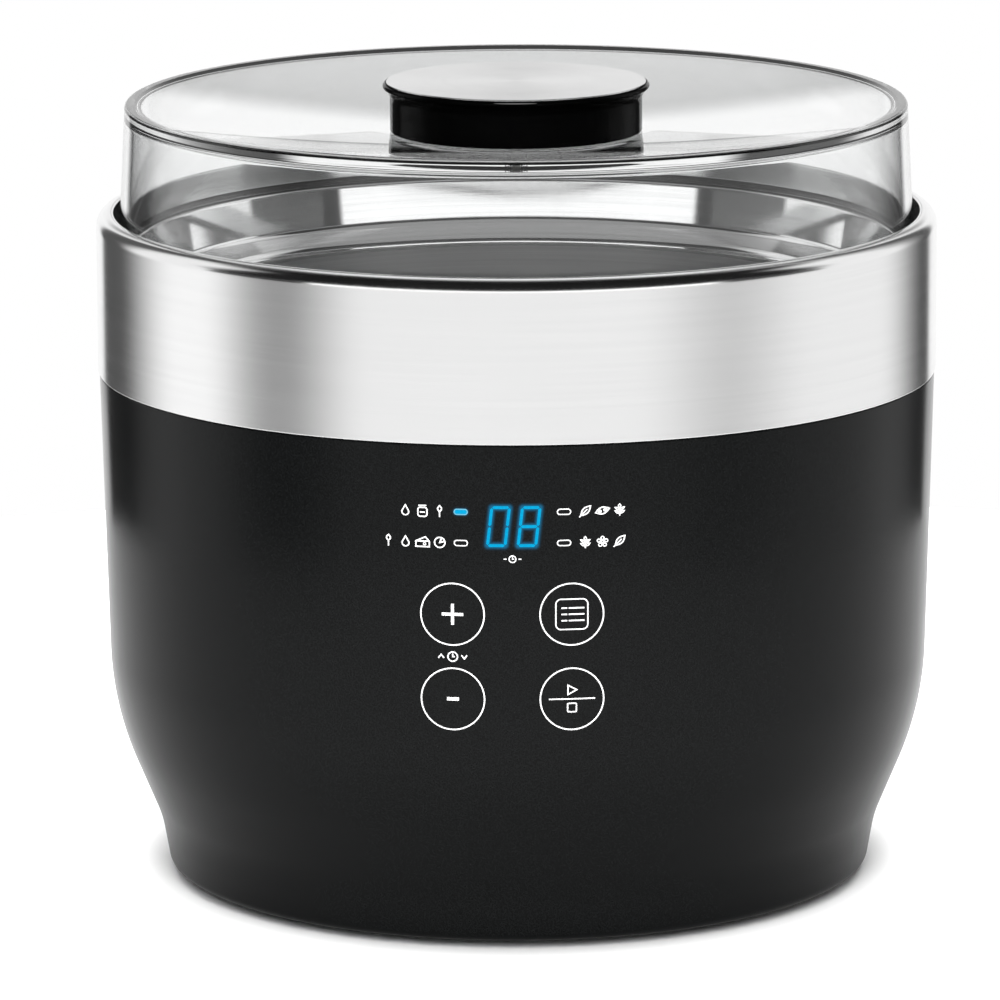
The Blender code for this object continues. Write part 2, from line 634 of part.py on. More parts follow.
def make_base(plastic, rubber, steel):
    """The base plate with its posts and vents, its screws and its feet."""
    reach = base_radius()
    disc = [(0, BASE_UNDER_Z), (reach, BASE_UNDER_Z), (reach, BASE_TOP_Z), (0, BASE_TOP_Z)]
    plate = turned("base_plate", disc, plastic, SHELL_SEGMENTS)
    root_z = BASE_TOP_Z - 1.0
    for index, (x, y) in enumerate(power_post_places()):
        length = POWER_BOARD_Z - GAP - root_z
        outline = [(0, 0), (POWER_POST_R, 0), (POWER_POST_R, length), (POWER_POST_HOLE_R, length),
                   (POWER_POST_HOLE_R, 2.0), (0, 2.0)]
        post = turned(f"power_post_{index}", outline, cutter=True)
        combine(plate, place(post, (x, y, root_z)), "UNION")
    for index, (x, y) in enumerate(ring_places(3, SHIELD_POST_R, 60)):
        length = SHIELD_Z - GAP - root_z
        pin_z = length + SHIELD_PIN_L
        outline = [(0, 0), (SHIELD_POST_FOOT_R, 0), (SHIELD_POST_FOOT_R - 0.5, length),
                   (SHIELD_PIN_R, length), (SHIELD_PIN_R, pin_z), (0, pin_z)]
        post = turned(f"shield_post_{index}", outline, cutter=True)
        combine(plate, place(post, (x, y, root_z)), "UNION")
    for index, (x, y) in enumerate(ring_places(VENT_COUNT, VENT_R)):
        size = (VENT_SIZE[1], VENT_SIZE[0], 3 * BASE_T)
        slot = block(f"vent_{index}", size, (x, y, BASE_UNDER_Z), cutter=True)
        slot.rotation_euler.z = math.atan2(y, x)
        combine(plate, slot, "DIFFERENCE")
    drill(plate, base_screw_places(), 1.9, BASE_UNDER_Z - 1, BASE_TOP_Z + 1)
    drill(plate, foot_places(), FOOT_PEG_R + GAP, BASE_UNDER_Z - 1, BASE_TOP_Z + 1)
    for number, (x, y) in enumerate(base_screw_places(), start=1):
        piece = screw(f"base_screw_{number}", 3.2, 1.5, 1.3, 14.0, steel)
        place(piece, (x, y, BASE_UNDER_Z - GAP))
    for number, (x, y) in enumerate(foot_places(), start=1):
        pad_z, barb_z = BASE_UNDER_Z - GAP, BASE_TOP_Z + GAP
        outline = [(0, 0), (FOOT_R - 0.5, 0), (FOOT_R, 0.5), (FOOT_R, pad_z), (FOOT_PEG_R, pad_z),
                   (FOOT_PEG_R, barb_z), (FOOT_PEG_R + 0.8, barb_z), (FOOT_PEG_R * 0.6, barb_z + 2.2),
                   (0, barb_z + 2.2)]
        place(turned(f"foot_{number}", outline, rubber, segments=16), (x, y, 0))


def make_power_board(board_finish, dark, steel, winding):
    """The power board on the base and what is soldered to it."""
    centre_z = POWER_BOARD_Z + BOARD_T / 2
    board = block("power_board", (*POWER_BOARD_SIZE, BOARD_T), (0, 0, centre_z), board_finish)
    held = power_post_places()[::2]
    drill(board, [(x, y) for x, y in held], 1.4, POWER_BOARD_Z - 1, POWER_BOARD_Z + BOARD_T + 1)
    top_z = POWER_BOARD_Z + BOARD_T + GAP
    for number, (x, y) in enumerate(held, start=1):
        piece = screw(f"power_screw_{number}", 2.4, 1.4, 1.0, 6.5, steel)
        place(piece, (x, y, top_z), (math.pi, 0, 0))
    parts = (
        ("transformer", TRANSFORMER_SIZE, (-18.0, 9.0), winding),
        ("relay", RELAY_SIZE, (12.5, 13.0), dark),
        ("terminal_block", TERMINAL_SIZE, (TERMINAL_X, 0.0), board_finish),
    )
    for name, size, (x, y), material in parts:
        block(name, size, (x, y, top_z + size[2] / 2), material, bevel=0.8)
    can = rounded([(0, 0, 0), (5, 0, 0), (5, 16, 0.8), (0, 16, 0)], steps=2)
    place(turned("capacitor", can, dark, segments=12), (18.0, -14.0, top_z))


def make_control_board(board_finish, dark, clear, steel):
    """The control board behind the panel with its display, light guides, touch springs and screws."""
    width = control_board_width()
    mid_y = (CONTROL_BOARD_FRONT_Y + CONTROL_BOARD_BACK_Y) / 2
    mid_z = CONTROL_BOARD_TOP_Z - CONTROL_BOARD_H / 2
    front_y = CONTROL_BOARD_FRONT_Y - GAP
    board = block("control_board", (width, BOARD_T, CONTROL_BOARD_H), (0, mid_y, mid_z), board_finish)
    for number, (x, z) in enumerate(control_screw_places(), start=1):
        hole = turned(f"control_board_hole_{number}", [(0, -4), (1.3, -4), (1.3, 4), (0, 4)], cutter=True)
        combine(board, place(hole, (x, mid_y, z), (math.pi / 2, 0, 0)), "DIFFERENCE")
        piece = screw(f"control_screw_{number}", 2.4, 1.4, 1.0, BOARD_T + GAP + 1.9, steel)
        place(piece, (x, CONTROL_BOARD_BACK_Y + GAP, z), (math.pi / 2, 0, 0))
    floor_y = display_pocket_y() + GAP
    depth = front_y - floor_y
    block("display_module", (DISPLAY_SIZE[0], depth, DISPLAY_SIZE[1]),
          (0, (front_y + floor_y) / 2, PANEL_Z - LIGHT_PITCH / 2), dark, bevel=0.4)
    wide, tall = LIGHT_SIZE[0] / 2, LIGHT_SIZE[1] / 2
    corners = [(-wide, -tall), (wide, -tall), (wide, tall), (-wide, tall)]
    oblong = rounded([(x, y, tall * 0.95) for x, y in corners], steps=2)
    lights = [(side * LIGHT_X, PANEL_Z - row * LIGHT_PITCH) for row in (0, 1) for side in (-1, 1)]
    for number, (x, z) in enumerate(lights, start=1):
        place(extruded(f"led_guide_{number}", oblong, depth, clear), (x, front_y, z), (math.pi / 2, 0, 0))
    keys = [(side * KEY_X, SEAM_Z - drop) for drop in KEY_DROPS for side in (-1, 1)]
    spring_r, wire_r = 3.6, 0.4
    for number, (x, z) in enumerate(keys, start=1):
        reach = inner_y(abs(x) + spring_r + wire_r, z)
        spring = coil(f"touch_spring_{number}", spring_r, front_y - reach - GAP, 3, wire_r, steel)
        place(spring, (x, front_y, z), (math.pi / 2, 0, 0))


def make_wiring(ribbon_finish, red, white):
    """The leads between the boards, the heater and the sensor."""
    board_z = CONTROL_BOARD_TOP_Z - CONTROL_BOARD_H - GAP
    mid_y = (CONTROL_BOARD_FRONT_Y + CONTROL_BOARD_BACK_Y) / 2
    landing = POWER_BOARD_Z + BOARD_T + GAP
    turn_z = min(SHIELD_Z + 15, board_z - 4)
    route = smooth_route([(mid_y, board_z, 0), (mid_y + 0.4, turn_z, 0), (mid_y + 12, SHIELD_Z + 1, 0),
                          (-POWER_BOARD_SIZE[1] / 2 - 20, landing + 9, 0),
                          (-POWER_BOARD_SIZE[1] / 2 + 1, landing + 5, 0),
                          (-POWER_BOARD_SIZE[1] / 2 + 4, landing, 0)], steps=3)
    centre = [(point.x, point.y) for point in route]
    strip = offset(centre, 0.4) + offset(centre, -0.4)[::-1]
    ribbon = extruded("ribbon_cable", strip, 14.0, ribbon_finish)
    place(ribbon, (-7.0, 0, 0))
    ribbon.rotation_euler = (math.pi / 2, 0, math.pi / 2)
    block_x = TERMINAL_X + TERMINAL_SIZE[0] / 2 + GAP + 0.2
    for number, y in enumerate((-5.0, 5.0), start=1):
        points = [(block_x, y, landing + 6), (block_x + 20, y, landing + 7), (MAT_R + 3, y, SHIELD_Z),
                  (MAT_R + 2, y, PLATE_UNDER_Z - 7), (MAT_R - 3, y, PLATE_UNDER_Z - 3),
                  (MAT_R - 3, y, MAT_UNDER_Z - 2 * GAP)]
        tube(f"heater_lead_{number}", smooth_route(points), 1.2, red)
    stem_z = SHIELD_Z - 3.0 - 2 * GAP
    points = [(0, 0, stem_z), (0, 0, stem_z - 2), (0, -3, stem_z - 6), (0, -8, landing + 6),
              (0, -10, landing + 0.4)]
    tube("sensor_lead", smooth_route(points), 1.0, white)


def make_gland(rubber):
    """The bush in the rear wall that the mains cord comes through."""
    bush_r = GLAND_HOLE_R - 0.4
    inner = -(HOUSING_WALL + 1.1)
    bead_r, flange_r = bush_r + 0.8, bush_r + 1.4
    outline = [(CORD_BORE_R, inner - 1.6), (bead_r, inner - 1.6), (bead_r, inner), (bush_r, inner),
               (bush_r, 0.5), (flange_r, 0.5), (flange_r, 1.8), (bush_r, 2.6), (bush_r - 0.4, 8.0),
               (CORD_BORE_R, 8.0)]
    place(turned("cord_gland", outline, rubber, segments=12), *gland_place())


# ---------------------------------------------------------------- the lid

def make_lid_cover(clear):
    """The clear lid: a straight wall with a dished top."""
    hole_r, seat_r, steps = 2.0, KNOB_NECK_R + 1.0, 4
    span = DISH_R - seat_r
    bend = (DISH_DEPTH - DISH_SLOPE * span) / span ** 2
    top = [(hole_r, KNOB_SEAT_Z)]
    for step in range(steps):
        run = span * step / steps
        top.append((seat_r + run, KNOB_SEAT_Z + DISH_SLOPE * run + bend * run ** 2))
    under = offset([*top, (DISH_R, LID_TOP_Z)], -LID_WALL)[:-1]
    under_z = LID_TOP_Z - LID_WALL
    wall_r = LID_R - LID_WALL - LID_DRAFT * (under_z - LID_Z) / LID_H
    outline = rounded([
        (LID_R - LID_WALL, LID_Z, 0),
        (LID_R, LID_Z, 0.5),
        (LID_TOP_R, LID_TOP_Z, 0.5),
        (DISH_R, LID_TOP_Z, 0.4),
        *[(radius, height, 0) for radius, height in reversed(top)],
        *[(radius, height, 0) for radius, height in under],
        (wall_r, under_z, 1.5),
    ], steps=2)
    turned("lid_cover", outline, clear, SHELL_SEGMENTS)


def make_knob(gloss, inlay_finish, steel, rubber):
    """The knob, its steel inlay, and the screw and washer that hold it from below."""
    low_z = KNOB_SEAT_Z + GAP
    top_z = low_z + KNOB_H
    recess_z = top_z - INLAY_H - GAP
    roof_z = recess_z - KNOB_WALL
    recess_r = KNOB_R - 0.65
    hole_top_z, hole_r, boss_r = roof_z - 1.0, 1.6, 5.0
    flare = arc((KNOB_NECK_R + 3.6, top_z - 4.7), 3.6, 180, 122, 3)
    outline = [
        (0, hole_top_z), (hole_r, hole_top_z), (hole_r, low_z), (boss_r, low_z), (boss_r, roof_z),
        (KNOB_NECK_R - KNOB_WALL, roof_z), (KNOB_NECK_R - KNOB_WALL, low_z), (KNOB_NECK_R, low_z),
        *flare, (KNOB_R, top_z - 1.2), (KNOB_R, top_z - 0.5), (KNOB_R - 0.4, top_z),
        (recess_r, top_z), (recess_r, recess_z), (0, recess_z),
    ]
    turned("lid_knob", outline, gloss, SHELL_SEGMENTS)
    inlay_r = recess_r - GAP
    inlay = [(0, top_z - INLAY_H), (inlay_r, top_z - INLAY_H), (inlay_r, top_z - 0.2), (inlay_r - 0.3, top_z),
             (0, top_z)]
    turned("knob_inlay", inlay, inlay_finish, SHELL_SEGMENTS)
    washer_t = 1.0
    washer_z = KNOB_SEAT_Z - LID_WALL - GAP - washer_t
    washer = [(1.7, washer_z), (7.0, washer_z), (7.0, washer_z + washer_t), (1.7, washer_z + washer_t)]
    turned("knob_washer", washer, rubber, segments=16)
    seat_z = washer_z - GAP
    place(screw("knob_screw", 4.5, 2.0, 1.3, hole_top_z - 0.4 - seat_z, steel), (0, 0, seat_z))


def main():
    """Clear the scene and build every piece."""
    for item in list(bpy.data.objects):
        bpy.data.objects.remove(item)
    brushed = finish("brushed_steel", (0.72, 0.72, 0.71), 0.28, metallic=1.0)
    tub_steel = finish("tub_steel", (0.66, 0.66, 0.65), 0.22, metallic=1.0)
    zinc = finish("zinc_steel", (0.60, 0.60, 0.58), 0.35, metallic=1.0)
    aluminium = finish("aluminium", (0.78, 0.78, 0.78), 0.4, metallic=1.0)
    black = finish("satin_black", (0.022, 0.023, 0.024), 0.42)
    gloss = finish("gloss_black", (0.008, 0.008, 0.008), 0.07)
    clear = finish("clear_plastic", (0.96, 0.97, 0.97), 0.03, transmission=1.0)
    rubber = finish("black_rubber", (0.03, 0.03, 0.03), 0.75)
    silicone = finish("orange_silicone", (0.55, 0.16, 0.05), 0.6)
    green = finish("board_green", (0.02, 0.16, 0.07), 0.4)
    winding = finish("transformer_core", (0.28, 0.20, 0.10), 0.5)
    red = finish("lead_red", (0.45, 0.03, 0.02), 0.5)
    grey = finish("ribbon_grey", (0.45, 0.45, 0.47), 0.5)
    make_housing(black)
    make_band(brushed)
    make_collar(black, rubber)
    make_tub(tub_steel)
    make_heater(silicone, aluminium, zinc)
    make_sensor(black, zinc, aluminium)
    make_fuse(grey, zinc)
    make_shield(zinc)
    make_base(black, rubber, zinc)
    make_power_board(green, black, zinc, winding)
    make_control_board(green, black, clear, zinc)
    make_wiring(grey, red, grey)
    make_gland(rubber)
    make_lid_cover(clear)
    make_knob(gloss, brushed, zinc, rubber)


main()
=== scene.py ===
"""Yogurt maker: the visible pieces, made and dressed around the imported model.

Lengths are in millimetres unless a name says otherwise. +Z is up, the turning axis runs through the
origin, the touch panel faces -Y and everything stands on z = 0.
"""

from __future__ import annotations

import logging
import math
from dataclasses import dataclass
from enum import Enum
from typing import Any, Iterable, Sequence

import bmesh
import bpy
from mathutils import Euler, Matrix, Vector


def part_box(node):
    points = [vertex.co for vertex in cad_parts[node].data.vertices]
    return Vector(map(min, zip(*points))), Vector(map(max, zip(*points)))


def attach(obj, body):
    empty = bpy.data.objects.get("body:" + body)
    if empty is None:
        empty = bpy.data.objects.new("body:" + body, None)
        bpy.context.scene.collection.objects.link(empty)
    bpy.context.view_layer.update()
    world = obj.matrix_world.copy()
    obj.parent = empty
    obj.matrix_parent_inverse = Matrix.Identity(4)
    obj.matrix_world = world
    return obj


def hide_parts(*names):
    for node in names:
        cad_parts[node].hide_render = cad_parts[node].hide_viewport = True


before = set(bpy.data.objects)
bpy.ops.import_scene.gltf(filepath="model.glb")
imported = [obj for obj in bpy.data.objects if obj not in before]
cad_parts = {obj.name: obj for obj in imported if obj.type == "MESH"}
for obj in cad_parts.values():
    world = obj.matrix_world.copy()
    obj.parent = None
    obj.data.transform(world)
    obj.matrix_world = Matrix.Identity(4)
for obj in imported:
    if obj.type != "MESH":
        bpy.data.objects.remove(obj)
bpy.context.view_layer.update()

LOG = logging.getLogger("yogurt_maker")

MM = 0.001
GAP = 0.3                      # clearance between two pieces that touch
SHELL_STEPS = 256              # steps round a turned shell
SMALL_STEPS = 48               # steps round a small turned piece
SCREW_STEPS = 24               # steps round a screw
COIL_STEPS = 24                # steps in one turn of a spring
WIRE_STEPS = 10                # steps round a spring's wire
LATHE_CORE = 10.0              # radius of the circle that an outline is swept along
ARC_STEP = math.radians(6.0)   # widest turn of one facet in a fillet
ARC_LENGTH = 1.6               # longest facet in a fillet
GUARD = 0.35                   # straight strip kept beside each fillet
MERGE = 1e-6                   # metres
SHARP = math.radians(35.0)
EDGE_TURN = math.radians(14.0)  # a fold of this much counts as a full edge for wear
NOISE_RANGE = (0.3, 0.7)       # nearly all of a noise pattern's values lie between these
UNTURNED = (0.0, 0.0, 0.0)

Point = tuple[float, float]
Colour = tuple[float, float, float]
Place = tuple[float, float, float]


class Brushing(Enum):
    """Which way a metal was worked."""

    ROUND = "round the axis"
    STRAIGHT = "along X"


class Symbol(Enum):
    """The pictograms that stand beside the programme lights and on the keys."""

    JAR = "jar"
    SPOON = "spoon"
    WEDGE = "wedge"
    WHEEL = "wheel"
    DROP = "drop"
    LEAF = "leaf"
    POD = "pod"
    SPRIG = "sprig"
    FLOWER = "flower"
    CLOCK = "clock"
    UP = "up"
    DOWN = "down"
    PLAY = "play"
    STOP = "stop"


# ---------------------------------------------------------------- sizes read from the frame

def top_of(node: str) -> float:
    """Height of a CAD node's highest point."""
    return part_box(node)[1].z / MM


def base_of(node: str) -> float:
    """Height of a CAD node's lowest point."""
    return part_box(node)[0].z / MM


def radius_of(node: str) -> float:
    """Largest radius of a CAD node that is turned round the axis."""
    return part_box(node)[1].x / MM


def middle_of(node: str) -> Place:
    """Middle of a CAD node's box."""
    low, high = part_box(node)
    return tuple((low + high) / 2 / MM)


# ---------------------------------------------------------------- outlines

def rounded(corners: Sequence[tuple[float, float, float]], closed: bool = True) -> list[Point]:
    """An outline through corners, with each fillet turned into an arc.

    Args:
        corners: (x, y, fillet) of each corner, in order.
        closed: whether the last corner runs on to the first.

    Returns:
        The outline's points, with a short straight strip kept beside each arc.
    """
    points: list[Point] = []
    count = len(corners)
    for index, (x, y, fillet) in enumerate(corners):
        is_end = not closed and index in (0, count - 1)
        if fillet == 0 or is_end:
            points.append((x, y))
            continue
        corner = Vector((x, y))
        to_before = Vector(corners[index - 1][:2]) - corner
        to_after = Vector(corners[(index + 1) % count][:2]) - corner
        before, after = to_before.normalized(), to_after.normalized()
        half = before.angle(after) / 2
        reach = fillet / math.tan(half)
        centre = corner + (before + after).normalized() * fillet / math.sin(half)
        start = corner + before * reach - centre
        turn = start.angle_signed(corner + after * reach - centre)
        steps = max(2, math.ceil(abs(turn) / ARC_STEP), math.ceil(abs(turn) * fillet / ARC_LENGTH))
        if to_before.length > reach + 2 * GUARD:
            points.append(tuple(corner + before * (reach + GUARD)))
        for step in range(steps + 1):
            points.append(tuple(centre + Matrix.Rotation(-turn * step / steps, 2) @ start))
        if to_after.length > reach + 2 * GUARD:
            points.append(tuple(corner + after * (reach + GUARD)))
    return points


def arc(centre: Point, radius: float, start_deg: float, end_deg: float) -> list[Point]:
    """Points of an arc, from its start angle to its end angle."""
    span = math.radians(end_deg - start_deg)
    steps = max(2, math.ceil(abs(span) / ARC_STEP))
    points = []
    for step in range(steps + 1):
        angle = math.radians(start_deg) + span * step / steps
        points.append((centre[0] + radius * math.cos(angle), centre[1] + radius * math.sin(angle)))
    return points


def offset(points: Sequence[Point], distance: float) -> list[Point]:
    """An open polyline moved sideways by a distance, to its left when that is positive."""
    line = [Vector(point) for point in points]
    moved = []
    for index, point in enumerate(line):
        into = point - line[max(index - 1, 0)]
        out_of = line[min(index + 1, len(line) - 1)] - point
        into = (into if into.length else out_of).normalized()
        out_of = (out_of if out_of.length else into).normalized()
        along = (into + out_of).normalized()
        moved.append(tuple(point + along.orthogonal() * distance / max(into.dot(along), 0.2)))
    return moved


# ---------------------------------------------------------------- node trees

class Sheet:
    """A node tree under construction."""

    def __init__(self, tree: bpy.types.NodeTree) -> None:
        """Start on an empty tree."""
        self.tree = tree
        tree.nodes.clear()

    def add(self, kind: str, settings: dict[str, Any] | None = None,
            inputs: dict[str | int, Any] | None = None) -> bpy.types.Node:
        """Add a node.

        Args:
            kind: the node's type.
            settings: its own properties.
            inputs: values or sockets for its inputs, by name or number.

        Returns:
            The new node.
        """
        node = self.tree.nodes.new(kind)
        for name, value in (settings or {}).items():
            setattr(node, name, value)
        for name, value in (inputs or {}).items():
            self.feed(node.inputs[name], value)
        return node

    def feed(self, socket: bpy.types.NodeSocket, value: Any) -> None:
        """Link a socket or a node's first output to an input, or set the input's value."""
        if isinstance(value, bpy.types.Node):
            value = value.outputs[0]
        if isinstance(value, bpy.types.NodeSocket):
            self.tree.links.new(value, socket)
        else:
            socket.default_value = value

    def math(self, operation: str, *values: Any) -> bpy.types.NodeSocket:
        """A Math node on one, two or three values."""
        return self.add("ShaderNodeMath", {"operation": operation}, dict(enumerate(values))).outputs[0]

    def vector(self, operation: str, inputs: dict[str | int, Any]) -> bpy.types.NodeSocket:
        """A Vector Math node."""
        return self.add("ShaderNodeVectorMath", {"operation": operation}, inputs).outputs[0]


class ShapeSheet(Sheet):
    """A Geometry Nodes tree with named inputs."""

    def __init__(self, name: str, sockets: dict[str, str]) -> None:
        """Make the tree, its inputs and its one output.

        Args:
            name: the tree's name.
            sockets: type of each input after the geometry, by name.
        """
        super().__init__(bpy.data.node_groups.new(name, "GeometryNodeTree"))
        face = self.tree.interface
        face.new_socket(name="Geometry", in_out="INPUT", socket_type="NodeSocketGeometry")
        self.keys = {}
        for label, kind in sockets.items():
            made = face.new_socket(name=label, in_out="INPUT", socket_type=kind)
            self.keys[label] = made.identifier
        face.new_socket(name="Geometry", in_out="OUTPUT", socket_type="NodeSocketGeometry")
        self.given = self.add("NodeGroupInput").outputs

    def close(self, shape: Any) -> ShapeSheet:
        """End the tree in Realize Instances and Set Material."""
        real = self.add("GeometryNodeRealizeInstances", inputs={"Geometry": shape})
        dressed = self.add("GeometryNodeSetMaterial",
                           inputs={"Geometry": real, "Material": self.given["Material"]})
        self.add("NodeGroupOutput", inputs={0: dressed})
        return self

    def weld(self, shape: Any) -> bpy.types.Node:
        """Join the vertices that lie on one another."""
        return self.add("GeometryNodeMergeByDistance", inputs={"Geometry": shape, "Distance": MERGE})

    def on_points(self, item: Any) -> bpy.types.Node:
        """Set an item on each point of the input, turned by the point's own turn."""
        turn = self.add("GeometryNodeInputNamedAttribute", {"data_type": "FLOAT_VECTOR"}, {"Name": "turn"})
        return self.add("GeometryNodeInstanceOnPoints", inputs={
            "Points": self.given["Geometry"], "Instance": item, "Rotation": turn.outputs["Attribute"]})

    def run(self, base: bpy.types.Object, values: dict[str, Any]) -> bpy.types.Object:
        """Run the tree on an object and keep the result as a plain mesh.

        Args:
            base: the object that holds the tree's input geometry.
            values: a value for each named input.

        Returns:
            The same object with the finished mesh and no modifier.
        """
        modifier = base.modifiers.new("shape", "NODES")
        modifier.node_group = self.tree
        for label, value in values.items():
            modifier[self.keys[label]] = value
        view = bpy.context.evaluated_depsgraph_get()
        mesh = bpy.data.meshes.new_from_object(base.evaluated_get(view))
        base.modifiers.remove(modifier)
        mesh.name = base.name
        base.data = mesh
        return base


def lathe_tree() -> ShapeSheet:
    """The tree that turns a profile round Z: radius along X and minus the height along Y."""
    sheet = ShapeSheet("lathe", {"Steps": "NodeSocketInt", "Core": "NodeSocketFloat",
                                 "Material": "NodeSocketMaterial"})
    profile = sheet.add("GeometryNodeMeshToCurve", inputs={"Mesh": sheet.given["Geometry"]})
    back = sheet.add("ShaderNodeCombineXYZ", inputs={"X": sheet.math("MULTIPLY", sheet.given["Core"], -1.0)})
    profile = sheet.add("GeometryNodeTransform", inputs={"Geometry": profile, "Translation": back})
    circle = sheet.add("GeometryNodeCurvePrimitiveCircle",
                       inputs={"Resolution": sheet.given["Steps"], "Radius": sheet.given["Core"]})
    swept = sheet.add("GeometryNodeCurveToMesh", inputs={"Curve": circle, "Profile Curve": profile})
    return sheet.close(sheet.weld(swept))


def repeat_tree() -> ShapeSheet:
    """The tree that sets a copy of an item on each point, turned by the point's own turn."""
    sheet = ShapeSheet("repeat", {"Item": "NodeSocketObject", "Material": "NodeSocketMaterial"})
    item = sheet.add("GeometryNodeObjectInfo", inputs={"Object": sheet.given["Item"]})
    return sheet.close(sheet.on_points(item.outputs["Geometry"]))


def spring_tree() -> ShapeSheet:
    """The tree that winds a wire into a spring with closed ends on each point."""
    sheet = ShapeSheet("spring", {"Turns": "NodeSocketFloat", "Radius": "NodeSocketFloat",
                                  "Wire": "NodeSocketFloat", "Length": "NodeSocketFloat",
                                  "Material": "NodeSocketMaterial"})
    helix = sheet.add("GeometryNodeCurveSpiral", inputs={
        "Resolution": COIL_STEPS, "Rotations": sheet.given["Turns"], "Start Radius": sheet.given["Radius"],
        "End Radius": sheet.given["Radius"], "Height": sheet.given["Length"]})
    wire = sheet.add("GeometryNodeCurvePrimitiveCircle",
                     inputs={"Resolution": WIRE_STEPS, "Radius": sheet.given["Wire"]})
    coil = sheet.add("GeometryNodeCurveToMesh",
                     inputs={"Curve": helix, "Profile Curve": wire, "Fill Caps": True})
    return sheet.close(sheet.on_points(coil))


def print_tree() -> ShapeSheet:
    """The tree that lays a flat print on the surface behind it and gives it its thickness."""
    sheet = ShapeSheet("surface_print", {"Surface": "NodeSocketObject", "Lift": "NodeSocketFloat",
                                         "Thickness": "NodeSocketFloat", "Material": "NodeSocketMaterial"})
    wall = sheet.add("GeometryNodeObjectInfo", inputs={"Object": sheet.given["Surface"]}).outputs["Geometry"]
    hit = sheet.add("GeometryNodeRaycast", inputs={"Target Geometry": wall, "Ray Direction": (0, 1, 0)})
    lift = sheet.add("ShaderNodeCombineXYZ", inputs={"Y": sheet.math("MULTIPLY", sheet.given["Lift"], -1.0)})
    laid = sheet.add("GeometryNodeSetPosition", inputs={
        "Geometry": sheet.given["Geometry"], "Position": hit.outputs["Hit Position"], "Offset": lift})
    raised = sheet.add("GeometryNodeExtrudeMesh", inputs={
        "Mesh": laid, "Offset": (0, -1, 0), "Offset Scale": sheet.given["Thickness"], "Individual": False})
    backing = sheet.add("GeometryNodeFlipFaces", inputs={"Mesh": laid})
    joined = sheet.add("GeometryNodeJoinGeometry")
    sheet.feed(joined.inputs[0], raised.outputs["Mesh"])
    sheet.feed(joined.inputs[0], backing)
    return sheet.close(sheet.weld(joined))


LATHE = lathe_tree()
REPEAT = repeat_tree()
SPRING = spring_tree()
PRINT = print_tree()


# ---------------------------------------------------------------- materials

class Paint(Sheet):
    """One material's nodes round a Principled shader."""

    def __init__(self, name: str) -> None:
        """Make the material with its shader and its output."""
        self.material = bpy.data.materials.new(name)
        self.material.use_nodes = True
        super().__init__(self.material.node_tree)
        self.shader = self.add("ShaderNodeBsdfPrincipled")
        self.output = self.add("ShaderNodeOutputMaterial", inputs={"Surface": self.shader})

    def set(self, **values: Any) -> None:
        """Set or link the shader's sockets; an underscore in a name stands for a space."""
        for name, value in values.items():
            self.feed(self.shader.inputs[name.replace("_", " ")], value)

    def place(self) -> bpy.types.NodeSocket:
        """The piece's own coordinates in millimetres."""
        where = self.add("ShaderNodeTexCoord").outputs["Object"]
        return self.vector("SCALE", {0: where, "Scale": 1 / MM})

    def stretched(self, x: float, y: float, z: float) -> bpy.types.NodeSocket:
        """The coordinates scaled along each axis, in cycles per millimetre."""
        return self.vector("MULTIPLY", {0: self.place(), 1: (x, y, z)})

    def rings(self, along: float, across: float) -> bpy.types.NodeSocket:
        """Coordinates for lines that run round the axis.

        Args:
            along: cycles per millimetre along a line.
            across: cycles per millimetre across the lines.

        Returns:
            The coordinates, for a 3-D pattern of scale 1.
        """
        slant = 1.37           # lines on a flat surface are this much closer than on an upright one
        spot = self.add("ShaderNodeSeparateXYZ", inputs={0: self.place()}).outputs
        square = self.math("ADD", self.math("MULTIPLY", spot["X"], spot["X"]),
                           self.math("MULTIPLY", spot["Y"], spot["Y"]))
        reach = self.math("SQRT", square)
        line = self.math("MULTIPLY", self.math("MULTIPLY_ADD", reach, slant, spot["Z"]), across)
        return self.add("ShaderNodeCombineXYZ", inputs={
            "X": self.math("MULTIPLY", spot["X"], along), "Y": self.math("MULTIPLY", spot["Y"], along),
            "Z": line}).outputs[0]

    def noise(self, where: Any, scale: float = 1.0, detail: float = 3.0,
              rough: float = 0.55) -> bpy.types.NodeSocket:
        """A Noise pattern's value."""
        return self.add("ShaderNodeTexNoise", inputs={
            "Vector": where, "Scale": scale, "Detail": detail, "Roughness": rough}).outputs["Fac"]

    def spread(self, value: Any, low: float, high: float,
               to_low: float, to_high: float) -> bpy.types.NodeSocket:
        """A value's range mapped to another, with its ends clamped."""
        return self.add("ShaderNodeMapRange", inputs={
            0: value, 1: low, 2: high, 3: to_low, 4: to_high}).outputs[0]

    def vary(self, pattern: Any, low: float = 0.0, high: float = 1.0) -> bpy.types.NodeSocket:
        """A noise pattern's usual range mapped to another."""
        return self.spread(pattern, *NOISE_RANGE, low, high)

    def blend(self, amount: Any, first: Any, second: Any) -> bpy.types.NodeSocket:
        """Two colours mixed by an amount."""
        first = (*first, 1.0) if isinstance(first, tuple) else first
        second = (*second, 1.0) if isinstance(second, tuple) else second
        return self.add("ShaderNodeMix", {"data_type": "RGBA"}, {0: amount, 6: first, 7: second}).outputs[2]

    def attribute(self, name: str) -> bpy.types.NodeSocket:
        """A value that the mesh holds."""
        return self.add("ShaderNodeAttribute", {"attribute_name": name}).outputs["Fac"]

    def bump(self, height: Any, depth: float) -> bpy.types.Node:
        """A bump of a depth in millimetres."""
        return self.add("ShaderNodeBump", inputs={"Strength": 1.0, "Distance": depth * MM, "Height": height})

    def two_tone(self, pattern: Any, colour: Colour, change: float) -> bpy.types.NodeSocket:
        """A colour that a noise pattern makes darker and lighter by a share."""
        return self.blend(self.vary(pattern), shade(colour, 1 - change), shade(colour, 1 + change))


